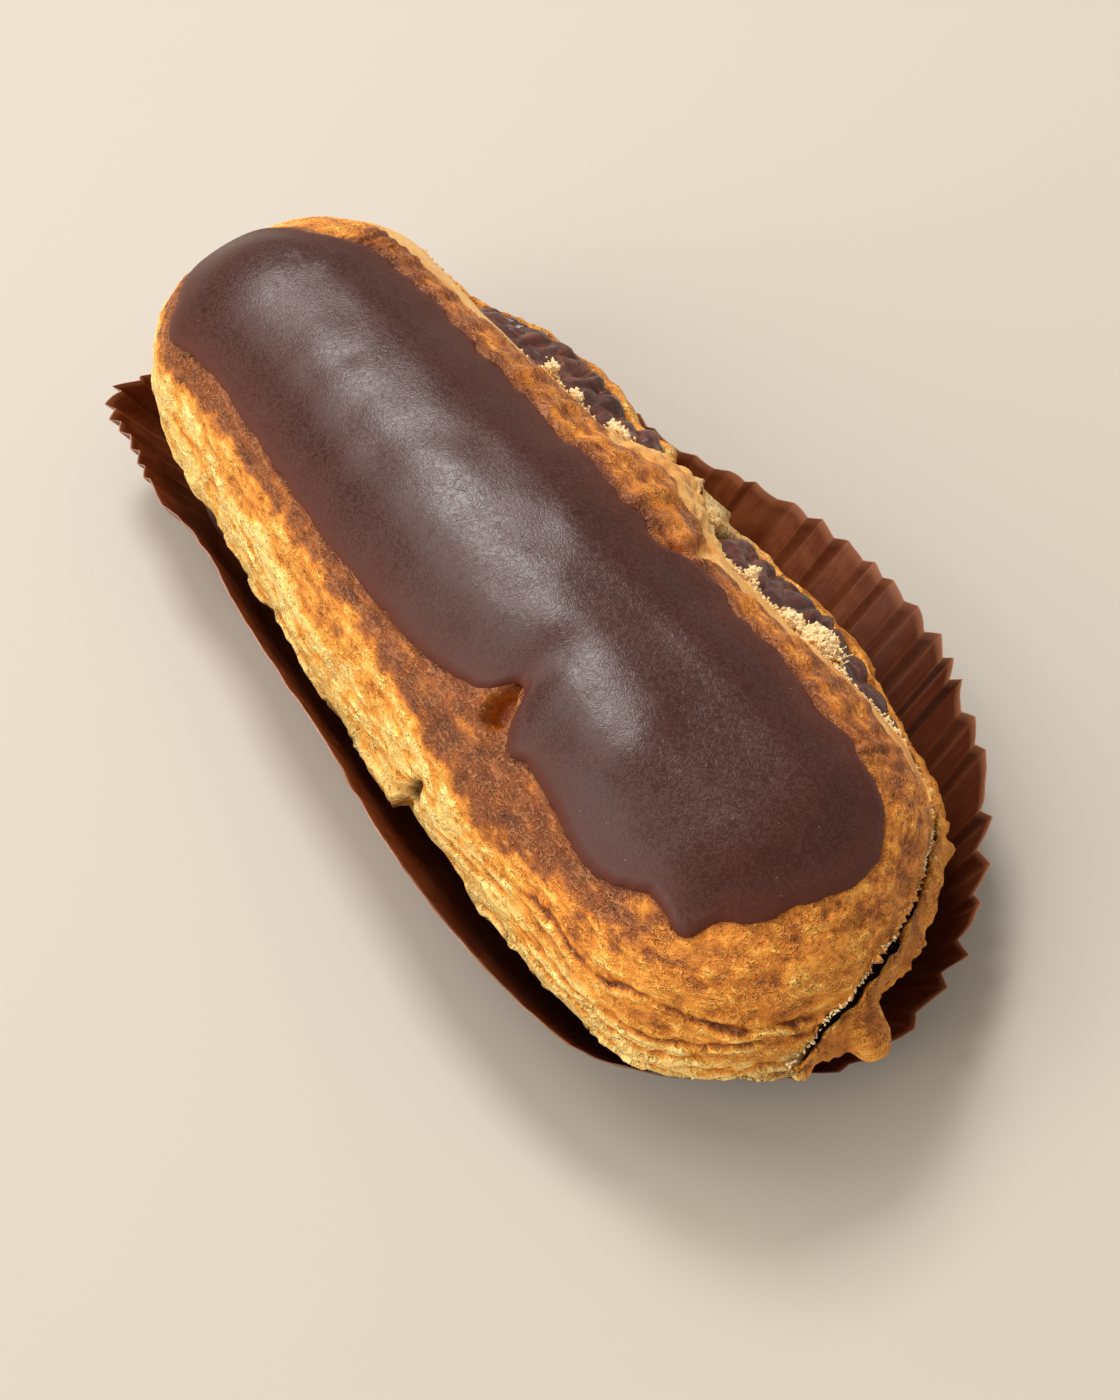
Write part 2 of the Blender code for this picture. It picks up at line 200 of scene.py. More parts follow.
# Painted highlight and glow of light through the thin paper, along the fold lines and along the rim
FOLD_GLOW_PAPER = (0.27, 0.085, 0.032)
RIM_GLOW_PAPER = (0.42, 0.18, 0.09)
FLOOR = (0.515, 0.468, 0.408)
CLOUDED_FLOOR = (0.48, 0.425, 0.36)
WARM_LIGHT = (1.0, 0.975, 0.94)
WHITE_LIGHT = (1.0, 0.995, 0.99)
ROOM_LIGHT = (1.0, 0.91, 0.82)


# ---------------- curves and shares


def around(table, station):
    """The table's value at each station, on a smooth closed curve through its 16 values (Catmull-Rom)."""
    table = np.asarray(table, float)
    first = np.floor(station).astype(int)
    t = station - first
    a, b, c, d = (table[(first + step) % STATIONS] for step in (-1, 0, 1, 2))
    bend = 2 * a - 5 * b + 4 * c - d + t * (3 * (b - c) + d - a)
    return b + 0.5 * t * (c - a + t * bend)


def through(pairs, station):
    """The value at each station on a closed cubic curve through (station, value) pairs.

    The slope at each pair is the mean of the slopes on its two sides; the shorter side counts for more.
    """
    at, value = np.array(pairs, float).T
    at = np.concatenate([at - STATIONS, at, at + STATIONS])
    value = np.tile(value, 3)
    slope = np.gradient(value, at)
    s = np.mod(station, STATIONS)
    i = np.searchsorted(at, s, side="right") - 1
    span = at[i + 1] - at[i]
    t = (s - at[i]) / span
    return (
        (2 * t**3 - 3 * t**2 + 1) * value[i]
        + (t**3 - 2 * t**2 + t) * span * slope[i]
        + (3 * t**2 - 2 * t**3) * value[i + 1]
        + (t**3 - t**2) * span * slope[i + 1]
    )


def smooth(low, high, value):
    """0 below low, 1 above high and an eased S between."""
    t = np.clip((value - low) / (high - low), 0, 1)
    return t * t * (3 - 2 * t)


def window(value, start, full, fall, end):
    """1 from full to fall, easing in from start and out to end."""
    return smooth(start, full, value) * (1 - smooth(fall, end, value))


def bell(distance, width):
    """1 at distance 0, falling to about a third one width away."""
    return np.exp(-((distance / width) ** 2))


def apart(station, middle):
    """How many stations each place lies past the middle one, from -8 to 8 round the ring."""
    return np.mod(station - middle + STATIONS / 2, STATIONS) - STATIONS / 2


def between(station, first, last, ease=0.25):
    """1 from the first station round to the last, easing to 0 outside."""
    half = 0.5 * (last - first)
    return 1 - smooth(half - ease, half + ease, np.abs(apart(station, first + half)))


def ring_of(columns):
    """Evenly spaced stations, once round the eclair."""
    return np.arange(columns) * STATIONS / columns


def unit(vectors):
    """The vectors, each made one long."""
    return vectors / np.maximum(np.linalg.norm(vectors, axis=1, keepdims=True), 1e-12)


def row_between(step, corner, rows):
    """Rows at each step, on straight lines between the given rows at the corners."""
    return np.array([np.interp(step, corner, column) for column in np.array(rows).T]).T


# ---------------- noise


GRADIENTS = unit(np.random.default_rng(11).normal(size=(256, 3)))


def cell_number(cell, seed):
    """A repeatable whole number under 2**31 for each cell: its three indices multiplied and mixed."""
    x, y, z = np.moveaxis(cell, -1, 0)
    mixed = (x * 73856093) ^ (y * 19349663) ^ (z * 83492791) ^ (seed * 2654435761)
    mixed = ((mixed ^ (mixed >> 13)) * 1274126177) & 0x7FFFFFFF
    return ((mixed ^ (mixed >> 15)) * 97531) & 0x7FFFFFFF


def noise(points, size, seed=0):
    """Smooth noise from about -1 to 1 with lumps of the given size in millimetres.

    Each corner of a point's cell holds a fixed direction. The dot products of these with the
    steps from the corners are mixed with eased weights.
    """
    spot = points / size
    cell = np.floor(spot).astype(np.int64)
    inside = spot - cell
    ease = inside**3 * (inside * (inside * 6 - 15) + 10)
    total = np.zeros(points.shape[:-1])
    for corner in itertools.product((0, 1), repeat=3):
        corner = np.array(corner)
        direction = GRADIENTS[cell_number(cell + corner, seed) % 256]
        weight = np.prod(np.where(corner == 1, ease, 1 - ease), axis=-1)
        total += weight * ((inside - corner) * direction).sum(axis=-1)
    return 1.7 * total


def fractal(points, size, octaves, seed=0):
    """Noise plus finer noise of half its size and height, and so on."""
    return sum(noise(points, size / 2**i, seed + i) / 2**i for i in range(octaves))


def ridges(points, size, seed=0):
    """Thin winding crests: 1 where the noise crosses zero, falling to 0 on either side."""
    return 1 - np.clip(np.abs(noise(points, size, seed)) * 2.5, 0, 1)


def pits(points, size, share, seed=0):
    """Scattered round pits, one to a cell at most: 1 at a pit's middle and 0 from its rim outwards.

    Each cell has a hashed centre, a radius of 0.15 to 0.4 cells, and a pit in only a share of them.
    """
    spot = points / size
    cell = np.floor(spot).astype(np.int64)
    deepest = np.zeros(points.shape[:-1])
    for step in itertools.product((-1, 0, 1), repeat=3):
        near = cell + np.array(step)
        draws = [(cell_number(near, seed + i) % 1024) / 1024 for i in range(5)]
        centre = near + 0.15 + 0.7 * np.stack(draws[:3], axis=-1)
        radius = (0.15 + 0.25 * draws[3]) * (draws[4] < share) + 1e-6
        away = np.linalg.norm(spot - centre, axis=-1) / radius
        deepest = np.maximum(deepest, 1 - smooth(0.35, 1.0, away))
    return deepest


# ---------------- the eclair's own coordinates


def spine_foot(station):
    """The spine's point under each station and the outward direction there, as (x, turn in radians)."""
    s = np.mod(station, STATIONS)
    quarter = 0.25 * math.pi
    x = np.interp(s, (0, 2, 6, 10, 14, 16), np.array((1, 1, -1, -1, 1, 1)) * SPINE_HALF_LENGTH)
    corner = np.array((0, 2, 2, 6, 6, 8)) * quarter
    turn = np.interp(s, (0, 2, 6, 10, 14, 16), corner)
    return x, turn


def spine_middle():
    """The spine's middle, found by laying the choux's outline in the middle of its box in the frame."""
    station = np.linspace(0, STATIONS, 2000)
    x, turn = spine_foot(station)
    reach = around(GIRTH_REACH, station)
    outline = np.stack([x + reach * np.cos(turn), reach * np.sin(turn)])
    low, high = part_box("choux_shell")
    box_middle = 0.5 * (np.array(low) + np.array(high))[:2] / MM
    return box_middle - 0.5 * (outline.min(axis=1) + outline.max(axis=1))


def place(station, reach, height):
    """Points in millimetres from station, reach out from the spine, and height above the table."""
    x, turn = spine_foot(station)
    station, reach, height = np.broadcast_arrays(station, reach, height)
    return np.stack(
        [SPINE_X + x + reach * np.cos(turn), SPINE_Y + reach * np.sin(turn), height], axis=-1
    )


def slice_share(station):
    """From 0 where lid and base are one crust to 1 where the slice is fully open."""
    return np.clip(around(SLICE_DEPTH, station) / FULL_SLICE, 0, 1)


def lid_height(station, reach):
    """The lid's outside: a rounded arch from the crown down to the line where it would spring."""
    share = slice_share(station)
    girth, girth_height = around(GIRTH_REACH, station), around(GIRTH_HEIGHT, station)
    spring = girth + share * (through(LID_OUTLINE, station) / (1 - LID_TRIM * share**2) - girth)
    spring_height = girth_height + share * (around(SPRING_HEIGHT, station) - girth_height)
    part = np.clip(reach / spring, 0, 1)
    arch = (1 - part**CRUST_FULLNESS) ** (1 / CRUST_FULLNESS)
    x, turn = spine_foot(station)
    along = x + reach * np.cos(turn)
    near_share = np.clip((along - CROWN_X) / 55, 0, 1)
    crown = CROWN_HEIGHT - FAR_FALL * smooth(CROWN_X, -62, along) - NEAR_FALL * near_share**2
    return spring_height + (crown - spring_height) * arch


def slice_profile(station):
    """The slice's section as (reach, height) rows from the lid's edge round its back to the girth.

    The crumb's rows stand out past the lid's edge. At the pillar, the rows of the base's lip rise
    and move in until they meet the lid; round the near end they stop a slit's width short of it.
    """
    share = slice_share(station)
    apart_share = smooth(0.02, 0.3, share)
    depth = np.clip(around(SLICE_DEPTH, station), 0, None)
    girth = around(GIRTH_REACH, station)
    girth = girth + apart_share * (through(BASE_OUTLINE, station) - girth)
    girth_height = around(GIRTH_HEIGHT, station)
    edge = girth + apart_share * (through(LID_OUTLINE, station) - girth)
    edge_height = lid_height(station, edge)
    crumb = share * np.clip(through(CRUMB_REACH, station), 0.05, None)
    roof = edge_height - share * LID_WALL
    floor = np.minimum(roof - share * SLICE_HEIGHT, girth_height - share * LIP_RISE)
    inner_lip = girth - share * LIP_WIDTH
    pillar = between(station, PILLAR_FIRST, PILLAR_LAST, 0.10)
    near = between(station, 15.0, 17.45, 0.35) * smooth(0.0, 0.12, share)
    closed = np.maximum(pillar, near)
    gap = near * through(SLIT_WIDTH, station)
    lip = girth - 0.5 * share * LIP_WIDTH
    lip_height = girth_height + 0.25 * share * LIP_RISE
    return {
        "edge": (edge, edge_height),
        "edge_side": (edge + 0.15 * share, edge_height - 0.5 * share * LID_WALL),
        "crumb": (edge + crumb, edge_height - 0.8 * share * LID_WALL - 0.42 * crumb),
        "crumb_under": (edge + 0.5 * crumb, edge_height - 1.3 * share * LID_WALL - 0.6 * crumb),
        "roof_outer": (edge - share * LID_WALL, roof),
        "back": (edge - depth, 0.5 * (roof + floor)),
        "floor_middle": (edge - 0.5 * depth, floor),
        "floor_outer": (inner_lip + closed * (edge + 0.3 + 0.5 * gap - inner_lip), floor),
        "lip_inside": (
            inner_lip + 0.2 * share + closed * (edge + 0.2 + gap - inner_lip),
            girth_height - 0.3 * share * LIP_RISE + closed * (edge_height - 3.2 - girth_height),
        ),
        "lip": (
            lip + closed * (edge + 1.0 - 0.3 * near + 0.7 * gap - lip),
            lip_height + closed * (edge_height - 0.8 - 0.1 * near - 0.5 * gap - lip_height),
        ),
        "girth": (girth, girth_height - share * LIP_RISE),
    }


SPINE_X, SPINE_Y = spine_middle()


# ---------------- meshes


def grid_triangles(rows, columns):
    """Two triangles for each cell of a grid whose columns close into a ring."""
    row, column = np.meshgrid(np.arange(rows - 1), np.arange(columns), indexing="ij")
    after = (column + 1) % columns
    a, b = row * columns + column, row * columns + after
    c, d = b + columns, a + columns
    halves = np.stack([a, b, c], axis=-1), np.stack([a, c, d], axis=-1)
    return np.concatenate([half.reshape(-1, 3) for half in halves])


def skin(grid):
    """The closed surface over a grid of points, as which points stay, the points and the triangles.

    Points that share a place are joined and triangles that fall flat are dropped. The triangles
    are turned over if the volume inside them comes out negative, so that they face outwards.
    """
    points = grid.reshape(-1, 3)
    _, kept, index = np.unique(np.round(points, 4), axis=0, return_index=True, return_inverse=True)
    triangles = index.reshape(-1)[grid_triangles(*grid.shape[:2])]
    a, b, c = triangles.T
    triangles = triangles[(a != b) & (b != c) & (c != a)]
    points = points[kept]
    a, b, c = points[triangles.T]
    volume = np.einsum("ij,ij->i", a, np.cross(b, c)).sum()
    return kept, points, triangles if volume > 0 else triangles[:, ::-1]


def kept_of(grid, kept):
    """A grid's values at the points that stay."""
    return grid.reshape(-1, *grid.shape[2:])[kept]


def vertex_normals(points, triangles):
    """Each point's direction outwards: the sum of its triangles' cross products, made one long."""
    a, b, c = points[triangles.T]
    across = np.cross(b - a, c - a)
    total = np.zeros_like(points)
    for corner in range(3):
        for axis in range(3):
            total[:, axis] += np.bincount(triangles[:, corner], across[:, axis], len(points))
    return unit(total)


def put(name, data):
    """A new object in the scene."""
    made = bpy.data.objects.new(name, data)
    bpy.context.scene.collection.objects.link(made)
    return made


def piece(name, points, triangles, look, fields=None):
    """A smooth-shaded object from points in millimetres, with one attribute for each named field."""
    mesh = bpy.data.meshes.new(name)
    mesh.vertices.add(len(points))
    mesh.vertices.foreach_set("co", (points * MM).astype(np.float32).ravel())
    mesh.loops.add(triangles.size)
    mesh.loops.foreach_set("vertex_index", triangles.astype(np.int32).ravel())
    mesh.polygons.add(len(triangles))
    mesh.polygons.foreach_set("loop_start", np.arange(0, triangles.size, 3, dtype=np.int32))
    mesh.update(calc_edges=True)
    mesh.shade_smooth()
    for field, values in (fields or {}).items():
        kind, entry = ("FLOAT_VECTOR", "vector") if values.ndim == 2 else ("FLOAT", "value")
        attribute = mesh.attributes.new(field, kind, "POINT")
        attribute.data.foreach_set(entry, values.astype(np.float32).ravel())
    mesh.materials.append(look)
    made = put(name, mesh)
    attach(made, "root")
    return made


# ---------------- materials


class Recipe:
    """A material's nodes, added one at a time; a value is either a number, a colour or a socket."""

    def __init__(self, name):
        self.material = bpy.data.materials.new(name)
        self.material.use_nodes = True
        self.tree = self.material.node_tree
        self.shader = self.tree.nodes["Principled BSDF"]

    def join(self, socket, value):
        if isinstance(value, bpy.types.NodeSocket):
            self.tree.links.new(value, socket)
        elif isinstance(value, tuple) and len(value) == 3 and socket.type == "RGBA":
            socket.default_value = (*value, 1.0)
        else:
            socket.default_value = value

    def add(self, kind, inputs, output=0, **settings):
        made = self.tree.nodes.new("ShaderNode" + kind)
        for name, value in settings.items():
            setattr(made, name, value)
        for name, value in inputs.items():
            self.join(made.inputs[name], value)
        return made.outputs[output]

    def place(self):
        return self.add("TexCoord", {}, "Object")

    def field(self, name, output="Fac"):
        return self.add("Attribute", {}, output, attribute_name=name)

    def stretched(self, vector, scale):
        return self.add("Mapping", {"Vector": vector, "Scale": scale})

    def noise(self, vector, size, detail=3.0, distortion=0.0, roughness=0.55):
        """Noise with lumps of the given size, in the vector's own unit."""
        inputs = {
            "Vector": vector, "Scale": 1 / size, "Detail": detail,
            "Distortion": distortion, "Roughness": roughness,
        }
        return self.add("TexNoise", inputs, "Fac")

    def worms(self, vector, size, turns, distortion=0.0):
        """Fine winding lines, 0 to 1: the level lines of a smooth noise, turns of them across its range."""
        level = self.times(self.noise(vector, size, 1.0, distortion, 0.4), turns)
        return self.times(self.sum(level, 0.5, "PINGPONG"), 2.0)

    def cells(self, vector, size):
        return self.add("TexVoronoi", {"Vector": vector, "Scale": 1 / size}, "Distance")

    def sum(self, first, second, operation="ADD", clamp=False):
        return self.add("Math", {0: first, 1: second}, operation=operation, use_clamp=clamp)

    def times(self, first, second):
        return self.sum(first, second, "MULTIPLY")

    def scaled(self, value, low, high, to_low=0.0, to_high=1.0):
        """The value with low..high taken to to_low..to_high, kept inside."""
        inputs = {0: value, 1: low, 2: high, 3: to_low, 4: to_high}
        return self.add("MapRange", inputs, interpolation_type="SMOOTHSTEP")

    def mix(self, share, first, second, mode="MIX"):
        inputs = {0: share, 6: first, 7: second}
        return self.add("Mix", inputs, 2, data_type="RGBA", blend_type=mode)

    def ramp(self, value, stops):
        """Colours along a value, as (place, colour) stops."""
        made = self.add("ValToRGB", {"Fac": value})
        band = made.node.color_ramp
        while len(band.elements) < len(stops):
            band.elements.new(0.5)
        for element, (at, colour) in zip(band.elements, stops):
            element.position = at
            element.color = (*colour, 1.0)
        return made

    def bump(self, height, depth, strength=1.0, under=None):
        inputs = {"Height": height, "Distance": depth, "Strength": strength}
        if under is not None:
            inputs["Normal"] = under
        return self.add("Bump", inputs)

    def finish(self, **inputs):
        """Sets or joins the shader's inputs, named with _ for a space, and returns the material."""
        for name, value in inputs.items():
            self.join(self.shader.inputs[name.replace("_", " ")], value)
        return self.material


def baked_choux():
    """Crust from pale gold to dark toast: fibres, pale worm-like curls, pores, crumb and amber pools, with
    painted highlight on the curls and crests and painted shade between the curls, in the hollows, in the
    pores, in the near end's slit and in the crack.
    """
    r = Recipe("baked_choux")
    here, grain = r.place(), r.field("grain", "Vector")
    toast, crest, crumb, amber, strip, painted_shade = (
        r.field(name) for name in ("toast", "crest", "crumb", "amber", "strip", "painted_shade")
    )
    fibre = r.noise(r.stretched(grain, (0.4, 0.4, 1.0)), 1.1 * MM, 4.0, 1.4)
    curl = r.scaled(r.worms(here, 1.5 * MM, 4.0, 1.8), 0.50, 0.90)
    strand = r.scaled(r.worms(r.stretched(grain, (0.45, 0.45, 1.0)), 2.2 * MM, 5.5, 1.2), 0.50, 0.90)
    curl = r.sum(r.times(curl, r.sum(1.0, strip, "SUBTRACT")), r.times(strand, 0.8), "MAXIMUM")
    blotch = r.noise(here, 5.0 * MM, 3.0, 0.6)
    fleck = r.noise(here, 1.3 * MM, 4.0, 0.8)
    hole = r.scaled(r.noise(here, 0.8 * MM, 2.0, 0.6), 0.30, 0.40, 1.0, 0.0)
    # Browning drops where the crest is high and rises in the hollows: a painted highlight on the raised
    # crust and painted shade in its valleys, along with blotches, fibres and flecks
    change = 0.0
    for value, weight in ((blotch, 0.26), (crest, -0.62), (fibre, -0.38), (fleck, 0.22)):
        change = r.sum(change, r.times(r.sum(value, -0.5), weight))
    browning = r.sum(toast, r.times(change, r.scaled(toast, 0.2, 0.9, 1.0, 0.5)), clamp=True)
    crust = r.ramp(
        browning,
        ((0.0, PALE_GOLD), (0.2, GOLD), (0.45, ORANGE_CRUST), (0.70, BROWN_CRUST), (0.98, DARK_CRUST)),
    )
    # Lit and shaded copies of the crust, mixed by the curls: partly the curls' own pale colour, partly a
    # painted highlight on them and painted shade between them
    pale_and_lit_crust = r.mix(1.0, crust, (1.30, 1.62, 2.15), "MULTIPLY")
    dark_and_shaded_crust = r.mix(1.0, crust, (0.94, 0.79, 0.60), "MULTIPLY")
    curly = r.scaled(r.noise(here, 3.4 * MM, 2.0, 0.5), 0.38, 0.60, 0.15, 0.9)
    crust = r.mix(curly, crust, r.mix(curl, dark_and_shaded_crust, pale_and_lit_crust))
    threads = r.times(r.times(curl, r.scaled(toast, 0.4, 0.8)), 0.42)
    crust = r.mix(threads, crust, THREAD)
    # Painted shade in the pores: the small pits take a saturated orange-brown
    crust = r.mix(r.times(hole, 0.45), crust, r.mix(r.scaled(toast, 0.2, 0.6), PORE_SHADE, BROWN_CRUST))
    side = r.mix(r.scaled(r.sum(blotch, r.times(fibre, 0.4)), 0.60, 1.0), TAN, ORANGE_CRUST)
    crust = r.mix(r.times(strip, 0.9), crust, side)
    crust = r.mix(crumb, crust, r.mix(r.scaled(fleck, 0.42, 0.66), CRUMB, GOLD))
    # Painted shade: the inside of the near end's slit and the crack are coloured dark to stand for the
    # shade in them
    crust = r.mix(r.times(painted_shade, 0.92), crust, PAINTED_SHADE_CRUST)
    crust = r.mix(amber, crust, r.mix(r.scaled(blotch, 0.4, 0.6), AMBER, PALE_AMBER))
    dull = r.scaled(r.sum(r.sum(fibre, amber, "SUBTRACT"), r.times(strip, -0.15)), -0.7, 0.8, 0.14, 0.47)
    rough = r.sum(1.0, r.sum(r.times(strip, 0.6), r.times(amber, 0.9), "MAXIMUM"), "SUBTRACT")
    relief = r.bump(r.noise(here, 0.30 * MM, 3.0, 1.0), 0.06 * MM, r.times(rough, 0.7))
    relief = r.bump(r.times(curl, curly), 0.32 * MM, rough, relief)
    relief = r.bump(hole, -0.20 * MM, rough, relief)
    relief = r.bump(fibre, 0.46 * MM, r.times(rough, 0.9), relief)
    return r.finish(
        Base_Color=crust, Roughness=dull, Normal=relief, IOR=1.45, Specular_IOR_Level=0.28,
        Subsurface_Weight=0.10, Subsurface_Scale=0.0010, Subsurface_Radius=(1.0, 0.45, 0.18),
    )


def chocolate_glaze():
    """Satin dark chocolate with a fine worm-like skin, a few pale specks, and redder where it's thin."""
    r = Recipe("chocolate_glaze")
    here, thin = r.place(), r.field("thin")
    skin = r.worms(here, 0.9 * MM, 3.6, 1.2)
    peel = r.noise(here, 0.35 * MM, 2.0, 1.0, 0.6)
    cloud = r.noise(here, 9.0 * MM, 3.0, 0.8)
    body = r.mix(r.times(r.scaled(cloud, 0.3, 0.75), 0.35), CHOCOLATE, CLOUDED_CHOCOLATE)
    body = r.mix(r.times(r.scaled(skin, 0.3, 0.9), 0.24), body, BLOOMED_CHOCOLATE)
    body = r.mix(thin, body, THIN_CHOCOLATE)
    speck = r.scaled(r.cells(here, 2.3 * MM), 0.026, 0.042, 1.0, 0.0)
    body = r.mix(r.times(speck, 0.35), body, SUGAR_SPECK)
    dull = r.scaled(r.sum(r.times(skin, 0.7), cloud), 0.3, 1.2, 0.27, 0.37)
    dull = r.sum(dull, r.times(thin, 0.3))
    relief = r.bump(skin, 0.013 * MM, 0.8)
    relief = r.bump(peel, 0.012 * MM, 0.5, relief)
    relief = r.bump(r.noise(here, 3.0 * MM, 2.0), 0.06 * MM, 0.4, relief)
    return r.finish(Base_Color=body, Roughness=dull, Normal=relief, IOR=1.45, Specular_IOR_Level=0.38)


def chocolate_cream():
    """Glossy purple-brown cream with redder smears and fine drag lines."""
    r = Recipe("chocolate_cream")
    here = r.place()
    smear = r.noise(here, 3.6 * MM, 3.0, 1.6)
    fine = r.noise(here, 1.0 * MM, 3.0, 1.2)
    body = r.mix(r.scaled(smear, 0.44, 0.66), CREAM, RED_CREAM)
    body = r.mix(r.times(r.scaled(fine, 0.5, 0.75), 0.3), body, RED_CREAM)
    relief = r.bump(fine, 0.16 * MM, 0.5)
    relief = r.bump(smear, 0.5 * MM, 0.6, relief)
    return r.finish(
        Base_Color=body, Roughness=r.scaled(fine, 0.3, 0.7, 0.22, 0.38), Normal=relief,
        IOR=1.45, Specular_IOR_Level=0.4, Coat_Weight=0.15, Coat_Roughness=0.12,
    )


def brown_paper():
    """Waxed brown paper, finely streaked from floor to rim, with painted highlight and glow along its fold
    lines and its rim, and painted shadow on its wall at the +X end.
    """
    r = Recipe("brown_paper")
    here, grain = r.place(), r.field("grain", "Vector")
    crest, rim, case_shadow = (r.field(name) for name in ("crest", "rim", "case_shadow"))
    streak = r.noise(r.stretched(grain, (1.0, 1.0, 0.10)), 0.45 * MM, 3.0, 0.4)
    cloud = r.noise(here, 4.0 * MM, 4.0, 0.8)
    mottle = r.sum(r.times(streak, 0.2), r.times(cloud, 0.8))
    body = r.mix(r.scaled(mottle, 0.36, 0.64), DARK_PAPER, PAPER)
    # Painted shadow: the wall darkens towards the case's +X end
    body = r.mix(r.times(case_shadow, 0.8), body, SHADOWED_PAPER)
    # Painted highlight and glow along the fold lines and the rim
    body = r.mix(r.times(crest, 0.30), body, FOLD_GLOW_PAPER)
    body = r.mix(r.times(rim, 0.55), body, RIM_GLOW_PAPER)
    relief = r.bump(streak, 0.03 * MM, 0.4)
    relief = r.bump(r.noise(here, 0.5 * MM, 3.0), 0.03 * MM, 0.5, relief)
    return r.finish(
        Base_Color=body, Roughness=r.scaled(streak, 0.3, 0.7, 0.36, 0.48), Normal=relief, IOR=1.45,
        Specular_IOR_Level=0.5, Subsurface_Weight=0.04, Subsurface_Scale=0.0005,
        Subsurface_Radius=(1.0, 0.3, 0.1),
    )


def pale_crumb():
    """Torn choux crumb, pale yellow with a few browner bits."""
    r = Recipe("pale_crumb")
    here = r.place()
    baked = r.scaled(r.noise(here, 1.4 * MM, 3.0, 0.5), 0.55, 0.78)
    body = r.mix(baked, CRUMB, GOLD)
    relief = r.bump(r.noise(here, 0.3 * MM, 3.0), 0.08 * MM, 0.6)
    return r.finish(
        Base_Color=body, Roughness=0.65, Normal=relief,
        Subsurface_Weight=0.15, Subsurface_Scale=0.0008, Subsurface_Radius=(1.0, 0.6, 0.25),
    )


def pale_floor():
    """A matt warm white floor with the faintest clouding."""
    r = Recipe("pale_floor")
    cloud = r.noise(r.place(), 0.06, 3.0)
    body = r.mix(r.times(cloud, 0.12), FLOOR, CLOUDED_FLOOR)
    return r.finish(Base_Color=body, Roughness=0.55, Specular_IOR_Level=0.3)


# ---------------- the choux shell


CHOUX_COLUMNS, COVERED_ROWS, ARCH_ROWS, SLICE_ROWS, HULL_ROWS = 900, 6, 56, 26, 22
GRAIN_RADIUS = STATION_LENGTH * STATIONS / (2 * math.pi)      # a ring as long as the eclair's outline
SLICE_SPREAD = 0.14         # how much of the flank the closed slice's rows take
BELOW_SLICE = 1.9           # the part from which the shell's rows are the base's
FLAKE_HEIGHT = 2.1


def arch_leans(station, edge):
    """The arch rows' leans from 0 to 1: a few under the glaze, the rest even from its edge outwards."""
    glazed = np.clip((through(GLAZE_OUTLINE, station) - 1.8) / edge, 0.2, 0.8)
    first = np.arcsin(glazed ** (CRUST_FULLNESS / 2)) / (0.5 * math.pi)
    under = np.linspace(0, 1, COVERED_ROWS + 1)[:-1, None] * first
    beyond = np.linspace(0, 1, ARCH_ROWS - COVERED_ROWS)[:, None]
    return np.concatenate([under, first + beyond * (1 - first)])


def hull_point(girth, girth_height, foot, drop):
    """A place on the hull: its reach shrinks by drop**fullness from the girth down to the foot."""
    reach = foot + (girth - foot) * (1 - drop**HULL_FULLNESS)
    return reach, girth_height + drop * (CHOUX_FOOT - girth_height)


def choux_rows(station):
    """The shell's whole section at each station, as (reach, height) grids of rows by columns.

    From the crown the rows go down the arch, with reach = edge * sin(lean)**(2 / fullness), then
    round the slice, then down the hull and back to the spine. Where lid and base are one crust,
    the slice's rows are laid out on the flank instead.
    """
    cut = slice_profile(station)
    opened = smooth(0.0, 0.3, slice_share(station))
    edge = cut["edge"][0]
    lean = 0.5 * math.pi * arch_leans(station, edge) * (1 - SLICE_SPREAD * (1 - opened))
    arch_reach = edge * np.sin(lean) ** (2 / CRUST_FULLNESS)
    arch_height = lid_height(station, arch_reach)

    corner = np.array([0, 0.05, 0.16, 0.26, 0.36, 0.48, 0.6, 0.72, 0.84, 0.93, 1])
    step = np.linspace(0, 1, SLICE_ROWS + 2)[1:-1]
    open_reach, open_height = (row_between(step, corner, rows) for rows in zip(*cut.values()))
    girth, girth_height = cut["girth"]
    foot = around(FOOT_REACH, station)
    top, drop = 1 - SLICE_SPREAD, SLICE_SPREAD * 0.6
    half = step[:, None] * 2
    flank_lean = 0.5 * math.pi * (top + (1 - top) * half.clip(0, 1))
    low_reach, low_height = hull_point(girth, girth_height, foot, drop * (half - 1).clip(0, 1))
    high_reach = edge * np.sin(flank_lean) ** (2 / CRUST_FULLNESS)
    flank_reach = np.where(half > 1, low_reach, high_reach)
    flank_height = np.where(half > 1, low_height, lid_height(station, high_reach))
    slice_reach = flank_reach + opened * (open_reach - flank_reach)
    slice_height = flank_height + opened * (open_height - flank_height)

    start = drop * (1 - opened)
    fall = start + (1 - start) * np.linspace(0, 1, HULL_ROWS)[:, None]
    hull_reach, hull_height = hull_point(girth, girth_height, foot, fall)
    under_reach = foot * np.array([0.6, 0.25, 0.0])[:, None]
    under_height = np.full_like(under_reach, CHOUX_FOOT)
    reach = np.concatenate([arch_reach, slice_reach, hull_reach, under_reach])
    height = np.concatenate([arch_height, slice_height, hull_height, under_height])
    return reach, height


def section_parts(station):
    """For each row of the shell: 0 to 1 on the lid, 1 to 2 in the slice, and 2 to 3 below it."""
    arch = np.linspace(0, 1, ARCH_ROWS)
    slice_part = 1 + np.linspace(0, 1, SLICE_ROWS + 2)[1:-1]
    below = 2 + np.linspace(0, 1, HULL_ROWS + 3)
    return np.repeat(np.concatenate([arch, slice_part, below])[:, None], len(station), axis=1)


